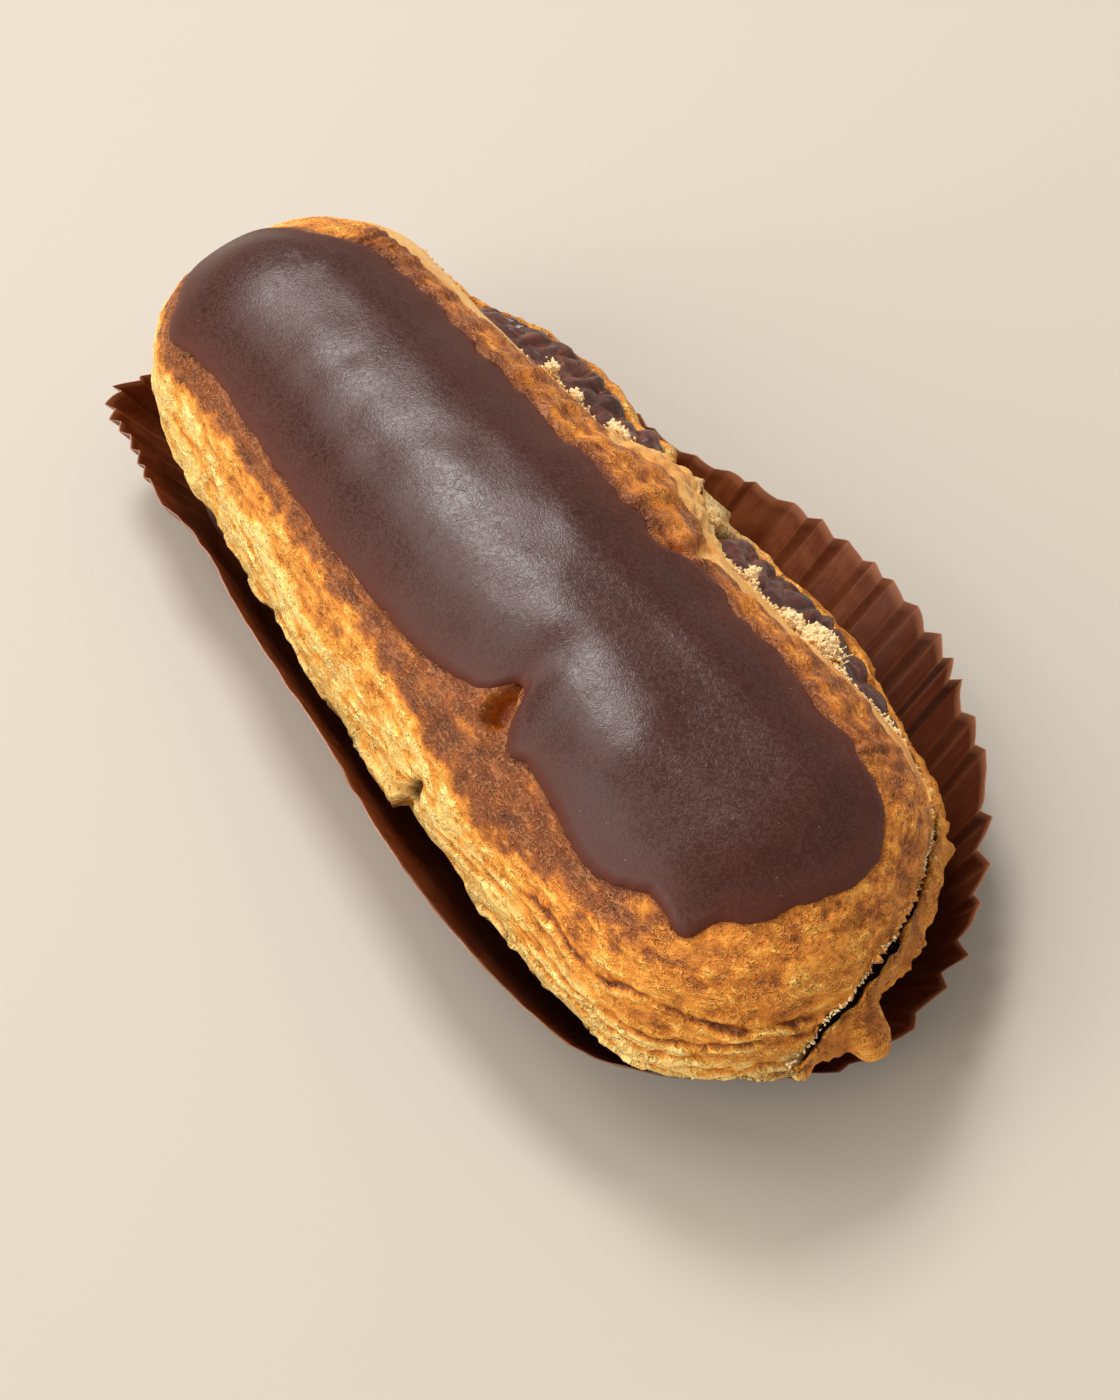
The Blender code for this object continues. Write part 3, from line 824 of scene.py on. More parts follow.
def grain_of(station, across):
    """Coordinates for a grain: two that go round a ring with the station, and one across it."""
    angle = 2 * math.pi * station / STATIONS
    ring = GRAIN_RADIUS * np.cos(angle), GRAIN_RADIUS * np.sin(angle)
    return np.stack(np.broadcast_arrays(*ring, across), axis=-1)


class Place:
    """Where the shell's points lie: their spot, station, reach, height, part and the zones they're in."""

    def __init__(self, spot, s, reach, height, part):
        self.spot, self.s, self.reach, self.height, self.part = spot, s, reach, height, part
        self.grain = grain_of(s, reach - height)
        self.along = self.grain * np.array([0.3, 0.3, 1.0])
        self.open = smooth(0.02, 0.25, slice_share(s))
        self.out = reach - through(GLAZE_OUTLINE, s)
        self.inside = window(part, 1.06, 1.2, 1.76, 1.84) * self.open
        self.walled = window(part, 1.0, 1.04, 1.97, 2.0) * self.open
        right = between(s, 1.7, 6.6, 0.3)
        self.from_band = reach - through(BAND_OUTLINE, s) - 0.6 + 0.35 * self.noise(1.6, 9)
        self.strip = right * smooth(-0.15, 0.35, self.from_band) * (part < 1.1)
        self.band = right * (1 - smooth(-0.1, 0.2, self.from_band)) * smooth(-0.6, 0.3, self.out)
        self.low = smooth(2.0, 9.0, height)

    def noise(self, size, seed):
        return noise(self.spot, size, seed)


def soft_folds(at):
    """Soft folds a few millimetres wide that run along the eclair, about -1 to 1."""
    bent = at.along + 2.0 * np.stack([at.noise(9.0, 15 + axis) for axis in range(3)], axis=1)
    return 0.7 * noise(bent, 3.4, 18) + 0.6 * (ridges(bent, 3.0, 19) - 0.5)


def fine_relief(at):
    """The crust's own grain, about -1 to 1: wrinkles round the eclair, lumps and winding crests."""
    wrinkle = fractal(at.along, 2.0, 3, 7)
    lump = fractal(at.spot, 1.9, 3, 12)
    crest = ridges(at.along * np.array([1.6, 1.6, 1.0]), 1.5, 21) - 0.35
    return 0.55 * wrinkle + 0.5 * lump + 0.4 * crest


def crust_relief(at, fine, folds):
    """How far the crust stands out from its plain form: swells, grain, folds, blisters and pores."""
    calm = (1 - 0.85 * at.strip) * (1 - at.inside) * at.low
    relief = 0.45 * fractal(at.spot, 12.0, 2, 3) * at.low
    relief += (0.18 * fine + 0.50 * folds * smooth(31, 24, at.height)) * calm
    relief -= 0.40 * pits(at.spot, 4.6, 0.25, 33) * calm * smooth(27, 22, at.height)
    for depth, size, share, seed in ((0.28, 2.2, 0.3, 31), (0.18, 1.3, 0.4, 41)):
        relief -= depth * pits(at.spot, size, share, seed) * calm
    return relief


def band_relief(at):
    """The browned band's lobes along the +Y side, which end in an overhanging step down to the strip."""
    lobe = 0.62 + 0.38 * np.sin(2 * math.pi * at.s * 4.6) * np.sin(2 * math.pi * at.s * 1.9 + 1.0)
    lobe = lobe + 0.35 * at.noise(3.2, 17)
    round_off = smooth(0.1, -2.2, at.from_band)
    return 1.15 * lobe * at.band * (0.45 + 0.55 * round_off) * smooth(-0.8, 0.8, at.out)


def crust_creases(at):
    """Long torn folds round the near end and along the -Y flank: a groove over a raised, frayed lip.

    Each fold runs from one station to another along a height that winds as a sum of two sines.
    """
    total = np.zeros_like(at.s)
    fray = 0.55 * at.noise(3.0, 23) + 0.28 * at.noise(1.1, 24)
    for first, last, level, wander, depth in FOLDS:
        line = level + wander * np.sin(1.9 * at.s + level) + 0.5 * np.sin(8.0 * at.s + 2 * level)
        above = at.height - line + fray
        broken = smooth(-0.40, 0.10, at.noise(5.5, 25 + int(level)))
        lip = 0.7 * window(above, -1.6, -0.12, -0.12, 0.12)
        groove = window(above, -0.12, 0.12, 0.15, 0.9)
        total += between(at.s, first, last) * depth * broken * (lip - groove)
    return total * (1 - at.strip) * (1 - at.walled)


def layered_rim(at):
    """Thin flakes round the near end's base, one over another, each a sloping shelf."""
    level = at.height + 0.9 * noise(at.along, 7.0, 26) + 0.25 * at.noise(1.1, 27)
    shelf = np.mod(level / FLAKE_HEIGHT, 1.0)
    zone = between(at.s, 13.2, 17.9, 0.4) * smooth(23.0, 19.0, at.height) * smooth(5.0, 8.0, at.height)
    return 0.30 * (0.5 - shelf) * zone * (at.part > 1.97)


def burst_bubble(at):
    """1 inside the leaf-shaped hole of a bubble that burst at the glaze's edge, 0 outside it."""
    across = apart(at.s, 12.845) * STATION_LENGTH - 0.12 * (at.reach - 17.0)
    leaf = np.clip((at.reach - 14.0) / 5.4, 0, 1)
    half_width = 0.25 + 1.45 * np.sin(math.pi * leaf**1.4 * 0.82)
    return smooth(1.25, 0.65, np.abs(across) / half_width) * smooth(20.2, 19.0, at.reach)


def from_tab(at):
    """How far each point lies from the torn tab's middle: 1 on an oval as large as the tab."""
    return np.hypot(apart(at.s, TAB_STATION) / TAB_LENGTH, (at.height - TAB_HEIGHT) / TAB_RISE)


def crust_faults(at):
    """The relief of single faults, and the shares of the bubble, the hollow and the crack among them.

    Beside the glaze a bubble has burst and a hollow pinches the crust. The -Y flank has a crack,
    a raised flap before it and four flakes. The torn tab stands out under the near end's slit.
    """
    s, height, base = at.s, at.height, at.part > BELOW_SLICE
    bubble = burst_bubble(at)
    hollow = bell(apart(s, 3.385), 0.075) * bell(at.reach - 12.6, 1.2)
    pinch = bell(apart(s, 3.34), 0.06) * bell(at.reach - 15.6, 1.2)
    tab = smooth(1.35, 0.5, from_tab(at)) * base
    above_tab = bell(apart(s, 15.85), 0.12) * bell(height - 19.2, 0.8) * base
    relief = -3.0 * bubble - 1.6 * hollow - 0.9 * pinch + 1.4 * tab - 0.9 * above_tab
    along = s - 0.012 * (height - 18.0)
    tip = 12.60 - 0.016 * ((height - 14.2) / 2.2) ** 2 + 0.012 * at.noise(1.8, 28)
    flap = window(along, 11.8, 12.57, tip - 0.02, tip + 0.02) * bell(height - 14.6, 3.6)
    crack = bell(along - 12.635, 0.034) * bell(height - 19.2, 2.6)
    flake = sum(
        window(s, end - 0.30, end, end, end + 0.03) * bell(height - level, 1.6)
        for end, level in ((11.08, 14), (11.62, 13), (10.3, 17), (13.35, 13))
    )
    on_flank = window(at.part, 0.55, 0.7, 2.4, 2.6)
    relief += on_flank * (1.8 * flap - 3.8 * crack + 0.8 * flake)
    return relief, bubble, hollow, on_flank * crack


def torn_edges(at):
    """Jagged crumb along the lid's cut edge: fine noise out and in, strongest on the edge itself."""
    teeth = ridges(at.spot, 0.9, 51) - 0.35 + 0.7 * at.noise(0.6, 52)
    lobes = at.noise(3.0, 53)
    near = between(at.s, 15.2, 17.6, 0.2)
    shelf = window(at.part, 1.02, 1.10, 1.22, 1.30) * at.open * (1 - 0.55 * near)
    edge = bell(at.part - 1.05, 0.06) * at.open * (0.30 * teeth + 0.5 * lobes + 0.45 * near * teeth)
    on_flap = near * smooth(1.86, 1.92, at.part) * smooth(2.6, 2.3, at.part)
    edge += on_flap * (0.9 * at.noise(3.0, 56) + 0.5 * (ridges(at.spot, 2.6, 57) - 0.5))
    on_lip = window(at.part, 1.84, 1.9, 1.99, 2.04) * at.open
    pillar = between(at.s, PILLAR_FIRST, PILLAR_LAST, 0.1) * window(at.part, 1.0, 1.1, 2.0, 2.1)
    wrinkled = at.strip * between(at.s, 3.3, 4.6, 0.3)
    clumps = (pillar + 0.6 * wrinkled) * (1.1 * at.noise(2.2, 54) + 0.6 * at.noise(1.1, 55))
    return 0.6 * shelf * teeth + edge + on_lip * (0.08 * teeth + 0.3 * lobes) + clumps


def dark_patches(at):
    """The darkest of the ragged round patches at each point."""
    ragged = 0.55 * at.noise(1.8, 65) + 0.3 * at.noise(5.0, 66)
    darkest = np.zeros_like(at.s)
    for station, reach, length, width, strength in DARK_PATCHES:
        from_middle = np.hypot(apart(at.s, station) / length, (at.reach - reach) / width)
        darkest = np.maximum(darkest, strength * smooth(1.4, 0.3, from_middle + ragged))
    return darkest


def toast_field(at):
    """How browned the crust is, from 0 to 1.

    Dark and mottled beside the glaze as far as its own outline, orange from there to the shoulder,
    pale below it on the flank, even brown on the +Y band, and brown on the base's rim.
    """
    beyond = at.reach - through(TOAST_OUTLINE, at.s) + (0.75 * at.noise(3.2, 61) + 0.4 * at.noise(1.3, 68))
    strength = 0.86 - 0.36 * between(at.s, 14.2, 18.0, 0.6)
    line = strength * (1 - smooth(-1.1, 1.3, beyond)) * (0.92 + 0.24 * at.noise(2.4, 69))
    line = np.maximum(line, (strength + 0.06) * bell(at.out.clip(0), 0.9))
    shoulder = through(SHOULDER_HEIGHT, at.s) + 1.3 * at.noise(5.0, 62) + 0.5 * at.noise(1.8, 63)
    upper = smooth(-1.0, 0.9, at.height - shoulder)
    zone = 0.03 + 0.28 * upper + 0.10 * at.noise(7.0, 64) + 0.06 * between(at.s, 14.4, 17.8, 0.6)
    zone += 0.15 * upper * between(at.s, 16.3, 18.4, 0.5)
    toast = np.maximum(np.maximum(line, dark_patches(at)), zone)
    band = 0.60 + 0.16 * at.noise(4.0, 67) + 0.25 * smooth(1.2, 0.0, np.abs(at.out))
    toast += at.band * (band - toast)
    beside_pillar = 1 - between(at.s, PILLAR_FIRST, PILLAR_LAST, 0.15)
    rim = 0.38 * beside_pillar * window(at.part, 1.80, 1.86, 2.03, 2.12) * between(at.s, 1.5, 6.3, 0.3)
    flap = 0.40 * window(at.part, 1.74, 1.80, 2.3, 2.5) * between(at.s, 15.2, 17.6, 0.3)
    tab = smooth(1.8, 0.6, from_tab(at)) * (at.part > BELOW_SLICE)
    return np.clip(np.maximum(np.maximum(toast - 0.10 * tab, rim), flap - 0.12 * tab), 0, 1)


def bare_crumb(at):
    """1 where the inside of the choux shows: in the slice, along the lid's torn edge and on the pillar."""
    torn = smooth(1.01, 1.06, at.part) * at.open * (at.part < 1.5)
    pillar = between(at.s, PILLAR_FIRST - 0.1, PILLAR_LAST, 0.2) * at.open * smooth(0.97, 1.02, at.part)
    torn = np.maximum(torn, 0.6 * pillar * smooth(2.4, 2.1, at.part))
    # Round the near end the pale crumb fades by 0.6, which leaves the slit's inside to the painted shade
    return np.clip(np.maximum(at.inside, torn), 0, 1) * (1 - 0.6 * between(at.s, 15.0, 17.6, 0.3))


def choux_shell():
    """The two crusts and the slice between them, as one closed skin with its relief worked in."""
    station = ring_of(CHOUX_COLUMNS)
    reach, height = choux_rows(station)
    kept, spot, triangles = skin(place(station, reach, height))
    grids = np.broadcast_to(station, reach.shape), reach, height, section_parts(station)
    at = Place(spot, *(kept_of(grid, kept) for grid in grids))
    fine, folds, creases = fine_relief(at), soft_folds(at), crust_creases(at)
    faults, bubble, hollow, crack = crust_faults(at)
    relief = crust_relief(at, fine, folds) + band_relief(at) + creases + layered_rim(at)
    relief = relief * (1 - smooth(0.1, 0.5, bubble)) + faults + torn_edges(at)
    relief *= smooth(0.9, 3.0, at.height)
    shaped = spot + relief[:, None] * vertex_normals(spot, triangles)
    fields = {
        "grain": at.grain * MM,
        # toast adds painted shade in the crease grooves; crest, the relief's height, paints highlight on
        # raised crust and shade in its hollows
        "toast": np.clip(toast_field(at) + 0.5 * np.clip(-creases, 0, 0.7), 0, 1),
        "crest": np.clip(0.5 + 0.5 * fine + 0.4 * folds + 0.9 * creases, 0, 1),
        "crumb": bare_crumb(at),
        "amber": np.clip(smooth(0.25, 0.6, bubble) + smooth(0.35, 0.8, hollow), 0, 1),
        "strip": at.strip,
        # painted shade inside the near end's slit and in the crack
        "painted_shade": np.maximum(at.inside * between(at.s, 14.9, 17.9, 0.2), smooth(0.08, 0.4, crack)),
    }
    made = piece("choux_crust", shaped, triangles, baked_choux(), fields)
    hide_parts("choux_shell")


# ---------------- the glaze


GLAZE_COLUMNS, GLAZE_ROWS, BEAD_ROWS, EVENED_COLUMNS = 900, 50, 12, 91


def glaze_top(station, reach):
    """The glaze's own swell over the lid: slow waves, round swells, a sunken side and a slanting trough."""
    spot = place(station, reach, 0.0)
    x, y = spot[..., 0] - SPINE_X, spot[..., 1] - SPINE_Y
    waves = 0.32 * noise(spot, 17.0, 71) + 0.12 * noise(spot, 6.0, 72)
    swell = waves * (1 - 0.75 * smooth(34, 46, np.abs(x)))
    for middle_x, middle_y, long, width, rise in GLAZE_SWELLS:
        swell += rise * bell(np.hypot((x - middle_x) / long, y - middle_y), width)
    within = smooth(1.0, 0.7, reach / through(GLAZE_OUTLINE, station))
    sunk = 0.5 * smooth(-8, 2, y) * smooth(-2, 22, x) * within
    along = np.clip((y + 15.6) / 12.6, 0, 1)
    trough = 0.5 * bell(x - 20.6 + 0.8 * along, 3.0) * smooth(1.0, 0.1, along)
    return swell - sunk - trough


def glaze_edge(station):
    """The glaze's reach, made uneven by noise and cut on the +Y side by the crust's lobes |sin|**0.7."""
    outline = through(GLAZE_OUTLINE, station)
    spot = place(station, outline, 0.0)
    phase = station * STATION_LENGTH / LOBE_LENGTH + 0.35 * noise(spot, 9.0, 75)
    lobe = np.abs(np.sin(math.pi * phase)) ** 0.7
    edge = outline + 0.18 * noise(spot, 2.4, 73) + 0.10 * noise(spot, 0.9, 74)
    return edge + between(station, 2.2, 6.2, 0.3) * (0.35 - 0.65 * lobe)


def glaze_skin():
    """A closed skin on the lid: even in the middle, a quarter round at its edge, its foot in the crust.

    Rows run from the spine to the bead by equal steps, over the bead by equal turns, with
    reach = edge - bead + bead * sin(turn) and thickness * cos(turn), and back underneath. The
    glaze swells inwards from its edge, averaged over a few millimetres, as poured glaze does. On
    the +Y side it is thinner.
    """
    station = ring_of(GLAZE_COLUMNS)
    edge = glaze_edge(station)
    inner = edge - GLAZE_BEAD
    flat = np.linspace(0, 1, GLAZE_ROWS)[:, None] * inner
    turn = np.linspace(0, 0.5 * math.pi, BEAD_ROWS + 1)[1:, None]
    reach = np.concatenate([flat, inner + GLAZE_BEAD * np.sin(turn)])
    full = np.concatenate([np.ones_like(flat[:, :1]), np.cos(turn)])
    weights = np.hanning(EVENED_COLUMNS) / np.hanning(EVENED_COLUMNS).sum()
    even_edge = np.convolve(np.tile(edge, 3), weights, "same")[len(edge) : 2 * len(edge)]
    swell = GLAZE_SWELL * smooth(0.5, 8, even_edge - reach)
    thickness = GLAZE_THICKNESS - 0.25 * between(station, 2.0, 6.6, 0.5) * smooth(2, 10, reach)
    rise = full * (thickness + swell + glaze_top(station, reach))
    height = lid_height(station, reach) + GLAZE_LIFT + rise
    under = np.array([0.985, 0.9, 0.5, 0.0])[:, None] * edge
    height = np.concatenate([height, lid_height(station, under) - GLAZE_SINK])
    reach = np.concatenate([reach, under])
    kept, points, triangles = skin(place(station, reach, height))
    inwards = kept_of(edge - reach, kept)
    thin = 0.6 * smooth(1.1, 0.0, inwards) + 0.4 * smooth(5.0, 0.3, inwards)
    made = piece("glaze", points, triangles, chocolate_glaze(), {"thin": thin})
    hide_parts("chocolate_glaze")


# ---------------- the cream


CREAM_FIRST, CREAM_LAST, RIDGE_PITCH = 1.3, 5.85, 5.6
CREAM_ROWS, CREAM_COLUMNS = 640, 72


def cream_section(station, turn):
    """The cream's loop, as grids of reach and height by station and turn, and how far it's shrunk.

    The loop goes from the slice's back out along its floor, up its open side in a soft S and back
    under its roof. At both ends it shrinks to its own middle, as sqrt(1 - (1 - distance)**2).
    """
    cut = slice_profile(station)
    top, bottom = cut["roof_outer"][1] - 0.1, cut["floor_outer"][1] + 0.1
    mouth, lip = cut["roof_outer"][0], cut["floor_outer"][0] - 0.1
    middle, back = cut["floor_middle"][0], cut["back"][0] + 1.5
    tall = top - bottom
    outline = (
        (back, 0.5 * (top + bottom)), (middle, bottom), (lip, bottom), (lip + 0.4, bottom + 0.26 * tall),
        (lip - 0.4, bottom + 0.55 * tall), (0.5 * mouth + 0.5 * lip, bottom + 0.84 * tall), (mouth, top),
        (middle, top), (back, 0.5 * (top + bottom)),
    )
    corner = np.array([0, 0.1, 0.24, 0.38, 0.54, 0.72, 0.86, 0.94, 1.0])
    end = np.clip(np.minimum(station - CREAM_FIRST, CREAM_LAST - station) / 0.3, 0, 1)[:, None]
    shrink = np.sqrt(1 - (1 - end) ** 2)
    grids = []
    for rows in zip(*outline):
        loop = row_between(turn, corner, rows).T
        centre = loop.mean(axis=1, keepdims=True)
        grids.append(centre + shrink * (loop - centre))
    return *grids, shrink


def cream_filling():
    """Piped cream in the slice: a closed loop carried along it, with broad slanting folds where it's open.

    The folds are rounded peaks |sin|**0.8, whose phase slants with the turn round the loop and is
    bent by noise, and creases where a second noise crosses zero.
    """
    station = np.linspace(CREAM_FIRST, CREAM_LAST, CREAM_ROWS)
    turn = np.linspace(0, 1, CREAM_COLUMNS + 1)[:-1]
    reach, height, shrink = cream_section(station, turn)
    station = station[:, None]
    grid = place(station, reach, height)
    phase = STATION_LENGTH * station / RIDGE_PITCH + 1.8 * turn + 0.75 * noise(grid, 6.5, 81)
    ridge = np.abs(np.sin(math.pi * phase)) ** 0.8 - 0.6
    fold = np.clip(np.abs(noise(grid, 4.6, 82)) * 2.2, 0, 1) ** 0.7 - 0.6
    swell = bell(turn - 0.55, 0.2) * (0.85 * ridge + 0.75 * fold + 0.10 * noise(grid, 1.2, 83)) * shrink
    kept, points, triangles = skin(grid)
    points = points + kept_of(swell, kept)[:, None] * vertex_normals(points, triangles)
    made = piece("cream", points, triangles, chocolate_cream())
    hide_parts("chocolate_filling")


# ---------------- the paper case


CASE_COLUMNS, WALL_ROWS = 1728, 15
FOLD_ANGLE = 14     # degrees, from which a fold in the paper is a sharp line


def case_wall(station, share, inset):
    """One row of the case's wall, moved in by the inset, with its crests' shares.

    Reach goes from the floor's to the rim's as share**0.8. The pleats are overlapping scallops
    that deepen towards the rim: each rises on a straight line to its fold, then drops straight back.
    """
    floor, rim = around(CASE_FLOOR_REACH, station), through(CASE_RIM, station)
    anchor = place(station, rim, 0.0)
    pleat = np.interp(station, np.arange(STATIONS + 1), PLEAT_COUNT)
    pleat = np.mod(pleat + 0.42 * noise(anchor, 7.0, 91) * between(station, 0.5, 15.5, 0.5), 1.0)
    scallop = np.minimum(pleat / PLEAT_FOLD, (1 - pleat) / (1 - PLEAT_FOLD))
    depth = share * around(PLEAT_DEPTH, station) * (0.9 + 0.6 * noise(anchor, 6.0, 94))
    reach = floor + (rim - floor) * share**WALL_BULGE + depth * (scallop - 0.6)
    height = share * (around(CASE_RIM_HEIGHT, station) + 0.45 * noise(anchor, 8.0, 92))
    reach = reach + 0.15 * share * noise(place(station, reach, height), 3.0, 93)
    crest = bell(pleat - PLEAT_FOLD, 0.06) + 0.5 * bell(pleat - 1.0, 0.05) + 0.5 * bell(pleat, 0.05)
    return reach - inset, np.maximum(height, inset), share * crest


def paper_case():
    """One closed sheet: a flat floor and a pleated wall, outside from the floor up and inside back down."""
    station = ring_of(CASE_COLUMNS)
    shares = np.linspace(0, 1, WALL_ROWS)
    flat = np.zeros_like(station)
    rows = [(flat, flat, flat)]
    rows += [case_wall(station, share, 0.0) for share in shares]
    rows += [case_wall(station, share, PAPER_THICKNESS) for share in shares[::-1]]
    rows.append((flat, flat + PAPER_THICKNESS, flat))
    reach, height, crest = (np.array(values) for values in zip(*rows))
    grid = place(station, reach, height)
    kept, points, triangles = skin(grid)
    share = (height / around(CASE_RIM_HEIGHT, station)).clip(0, 1)
    pleated = smooth(0.3, 0.9, around(PLEAT_DEPTH, station))
    fields = {
        # crest and rim carry the painted highlight and glow along the fold lines and the rim
        "crest": (crest * pleated).clip(0, 1),
        "rim": smooth(0.965, 1.0, share),
        # painted shadow: the wall darkens towards the +X end, where the eclair shades the case
        "case_shadow": smooth(12, 34, grid[..., 0] - SPINE_X) * smooth(6.0, 16.0, reach),
        "grain": grain_of(station, reach) * MM,
    }
    fields = {name: kept_of(values, kept) for name, values in fields.items()}
    made = piece("case", points, triangles, brown_paper(), fields)
    made.data.set_sharp_from_angle(angle=math.radians(FOLD_ANGLE))
    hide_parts("paper_case")


# ---------------- crumbs


BEADS = 7       # along each finger of crumb
# Crumbs along the lid's edge, as (first station, last station, how many, radius)
CRUMB_RUNS = (
    (2.1, 3.5, 520, 0.22), (4.25, 5.25, 260, 0.21), (0.2, 1.9, 140, 0.14), (15.3, 17.5, 250, 0.18),
)
# Torn tufts, each as (station, reach, height, half its size outwards, along and up, how many lumps)
TUFTS = (
    (2.76, 23.0, 24.6, 2.0, 2.5, 1.3, 620), (2.93, 22.2, 25.2, 0.9, 1.5, 0.9, 150),
    (3.29, 22.8, 25.0, 1.0, 0.5, 0.7, 60), (5.02, 22.4, 25.4, 0.8, 0.6, 0.6, 50),
    (4.46, 23.0, 25.0, 0.7, 1.8, 0.6, 110), (4.78, 22.2, 25.2, 0.5, 0.9, 0.5, 40),
)


def ball():
    """A round ball's points and triangles: an icosahedron."""
    data = bmesh.new()
    bmesh.ops.create_icosphere(data, subdivisions=1, radius=1.0)
    points = np.array([v.co[:] for v in data.verts])
    triangles = np.array([[v.index for v in f.verts] for f in data.faces])
    data.free()
    return points, triangles


def turned(rng, count):
    """Random turns, as three perpendicular directions for each."""
    first = unit(rng.normal(size=(count, 3)))
    second = unit(np.cross(first, rng.normal(size=(count, 3))))
    return np.stack([first, second, np.cross(first, second)], axis=1)


def lumps(centres, radii, rng, stretch=0.5, long=1.0):
    """Many small rough lumps: one ball, pushed out and in by random amounts, drawn long and turned."""
    base, triangles = ball()
    count = len(centres)
    rough = 1 + 0.28 * rng.normal(size=(count, len(base), 1)).clip(-1.5, 1.5)
    scale = radii[:, None, None] * (1 + stretch * rng.uniform(-1, 1, size=(count, 1, 3)))
    scale = scale * np.array([long, 1 / math.sqrt(long), 1 / math.sqrt(long)])
    points = np.einsum("nvi,nij->nvj", base[None] * rough * scale, turned(rng, count))
    points += centres[:, None]
    shift = np.arange(count)[:, None, None] * len(base)
    return points.reshape(-1, 3), (triangles[None] + shift).reshape(-1, 3)


def edge_crumbs():
    """Crumbs that cling to the torn shelf under the lid's edge, thickest where it stands out furthest."""
    rng = np.random.default_rng(5)
    station = np.concatenate([rng.uniform(first, last, count) for first, last, count, _ in CRUMB_RUNS])
    size = np.concatenate([np.full(count, radius) for _, _, count, radius in CRUMB_RUNS])
    size = size * rng.uniform(0.5, 1.25, len(station))
    cut = slice_profile(station)
    way = rng.uniform(0, 1.0, len(station)) ** 0.7
    reach, height = (near + way * (far - near) for near, far in zip(cut["edge_side"], cut["crumb"]))
    wide = np.clip(through(CRUMB_REACH, station), 0.1, 3)[:, None]
    spread = rng.normal(size=(len(station), 3)) * (0.12 + 0.10 * wide)
    spread[:, 2] = np.abs(spread[:, 2]) * 1.6
    return lumps(place(station, reach, height) + spread, size, rng, long=1.5)


def fingers():
    """Little curled fingers of crumb: beads along short bent arcs that stand out from the shelf's rim."""
    rng = np.random.default_rng(12)
    station = np.concatenate([rng.uniform(2.55, 3.05, 16), rng.uniform(4.28, 5.1, 10)])
    cut = slice_profile(station)
    foot = place(station, *cut["crumb"])
    _, turn = spine_foot(station)
    out = np.stack([np.cos(turn), np.sin(turn), 0.25 + 0.5 * rng.uniform(size=len(turn))], axis=1)
    out = unit(out + 0.55 * rng.normal(size=out.shape))
    bend = 0.6 * rng.normal(size=out.shape)
    step = np.linspace(0, 1, BEADS)[None, :, None]
    length = rng.uniform(0.5, 1.1, size=(len(station), 1, 1))
    beads = foot[:, None] + length * (step * out[:, None] + step**2 * bend[:, None])
    radii = rng.uniform(0.16, 0.26, (len(station), 1)) * np.linspace(1.1, 0.75, BEADS)
    return lumps(beads.reshape(-1, 3), radii.reshape(-1), rng, stretch=0.25)


def tuft(station, reach, height, across, along, tall, count, rng):
    """A torn tuft: lumps over the top of a flattened ball that clings to the lid's edge."""
    direction = unit(rng.normal(size=(count, 3)))
    direction[:, 2] = np.abs(direction[:, 2])
    depth = rng.uniform(0.5, 1.05, size=(count, 1))
    centres = place(station, reach, height) + direction * depth * np.array([along, across, tall])
    return lumps(centres, rng.uniform(0.2, 0.42, count), rng, long=1.6)


def all_crumbs():
    """Every crumb as one piece: those along the edge, the fingers and the tufts."""
    rng = np.random.default_rng(8)
    heaps = [edge_crumbs(), fingers(), *(tuft(*spot, rng) for spot in TUFTS)]
    shift = np.cumsum([0] + [len(points) for points, _ in heaps])
    points = np.concatenate([points for points, _ in heaps])
    triangles = np.concatenate([triangles + step for (_, triangles), step in zip(heaps, shift)])
    piece("torn_crumb", points, triangles, pale_crumb())


# ---------------- stage


LIGHTS_AIM = (0.0, 0.0, 0.02)


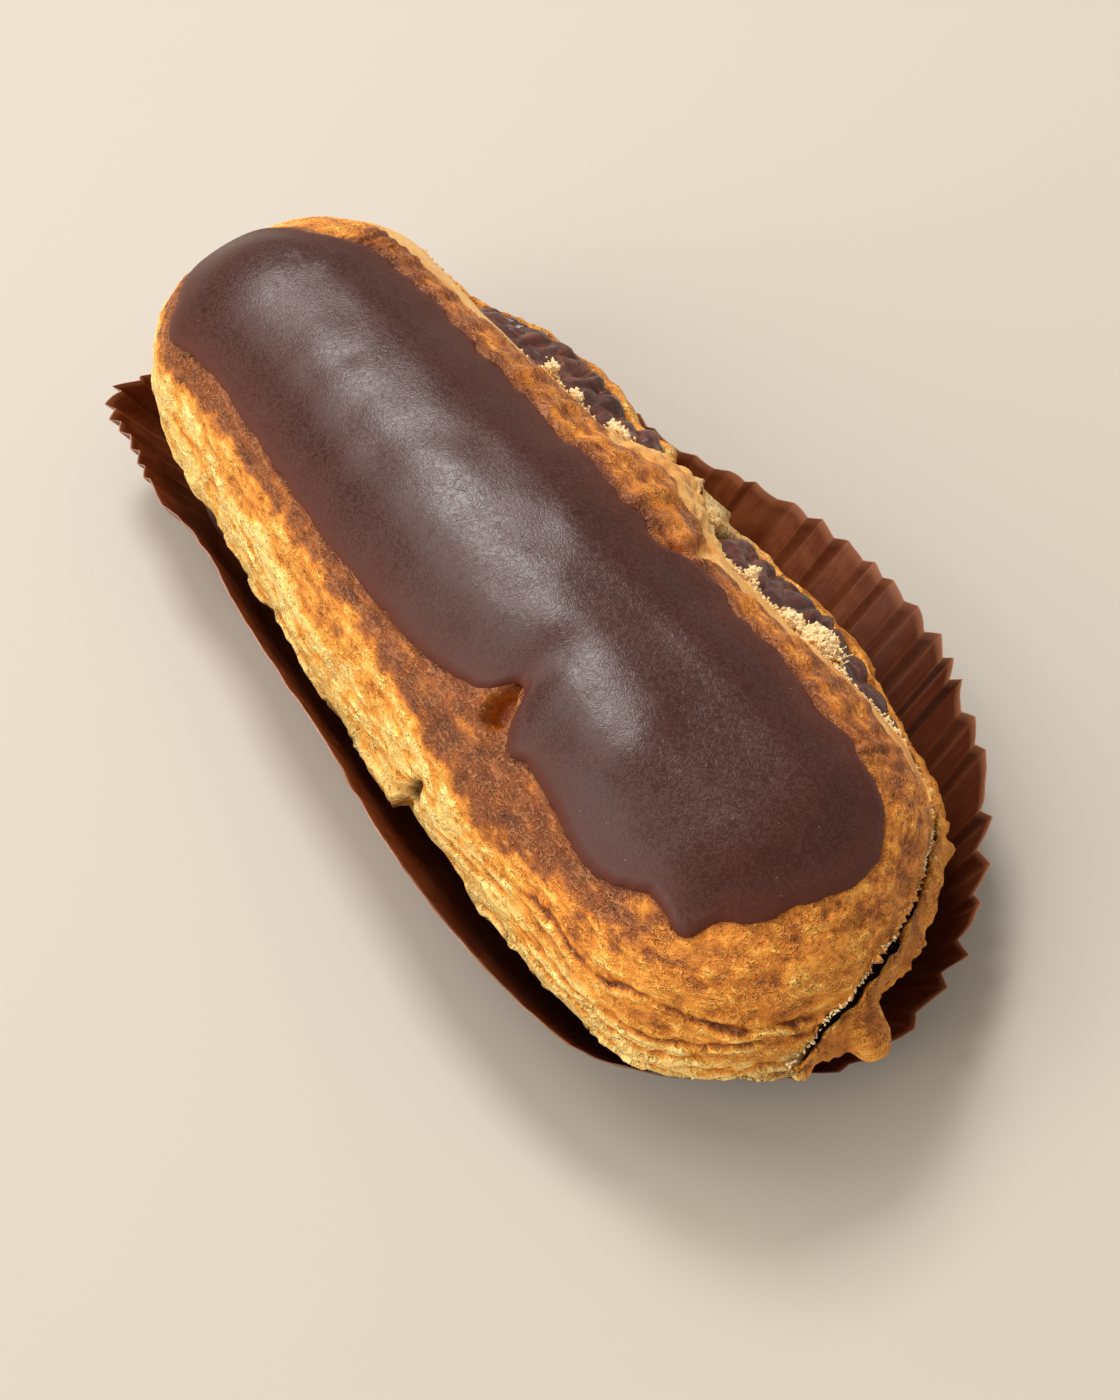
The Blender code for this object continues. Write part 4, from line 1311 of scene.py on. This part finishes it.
def soft_box(name, direction, distance, size, power, colour):
    """A square area light at a distance along a direction from the eclair, turned towards it."""
    light = bpy.data.lights.new(name, "AREA")
    light.energy, light.size, light.color = power, size, colour
    made = put(name, light)
    way = np.array(direction, float) / np.linalg.norm(direction)
    made.location = np.array(LIGHTS_AIM) + distance * way
    made.rotation_euler = look_along(-way)


def look_along(way):
    """The turn that points an object's -Z along a direction, with its Y as near up as it can be."""
    return Vector(way).to_track_quat("-Z", "Y").to_euler()


def floor():
    """A square floor, 4 m wide, just under the case."""
    mesh = bpy.data.meshes.new("floor")
    half = 2.0
    corners = [(-half, -half, 0), (half, -half, 0), (half, half, 0), (-half, half, 0)]
    mesh.from_pydata(corners, [], [(0, 1, 2, 3)])
    mesh.materials.append(pale_floor())
    made = put("floor", mesh)
    made.location.z = -0.0002


def lights():
    """A soft key over the -X end, a sheen light beside it, a broad fill from -Y and a bright room."""
    soft_box("key", (-0.50, -0.30, 0.81), 2.6, 1.15, 19.0, WARM_LIGHT)
    soft_box("sheen", (-0.57, 0.16, 0.80), 1.6, 0.48, 16.6, WHITE_LIGHT)
    soft_box("fill", (-0.20, -0.86, 0.47), 2.8, 1.9, 44.0, WARM_LIGHT)
    world = bpy.data.worlds.new("room")
    world.use_nodes = True
    room = world.node_tree.nodes["Background"].inputs
    room["Color"].default_value = (*ROOM_LIGHT, 1.0)
    room["Strength"].default_value = 0.56
    bpy.context.scene.world = world
    bpy.context.scene.view_settings.view_transform = "Standard"


def camera():
    """A camera 31 cm away, 56 degrees above the table, over the eclair's +X and -Y corner."""
    rise, turn, distance = math.radians(56), math.radians(54), 0.31
    aim = MM * np.array([SPINE_X + 15.5, SPINE_Y - 5.5, 20.0])
    data = bpy.data.cameras.new("camera")
    data.lens, data.sensor_width, data.clip_start = 65.5, 36.0, 0.01
    made = put("camera", data)
    way = np.array([math.sin(turn) * math.cos(rise), -math.cos(turn) * math.cos(rise), math.sin(rise)])
    made.location = aim + distance * way
    made.rotation_euler = look_along(-way)
    bpy.context.scene.camera = made


def main():
    choux_shell()
    glaze_skin()
    cream_filling()
    paper_case()
    all_crumbs()
    floor()
    lights()
    camera()


main()
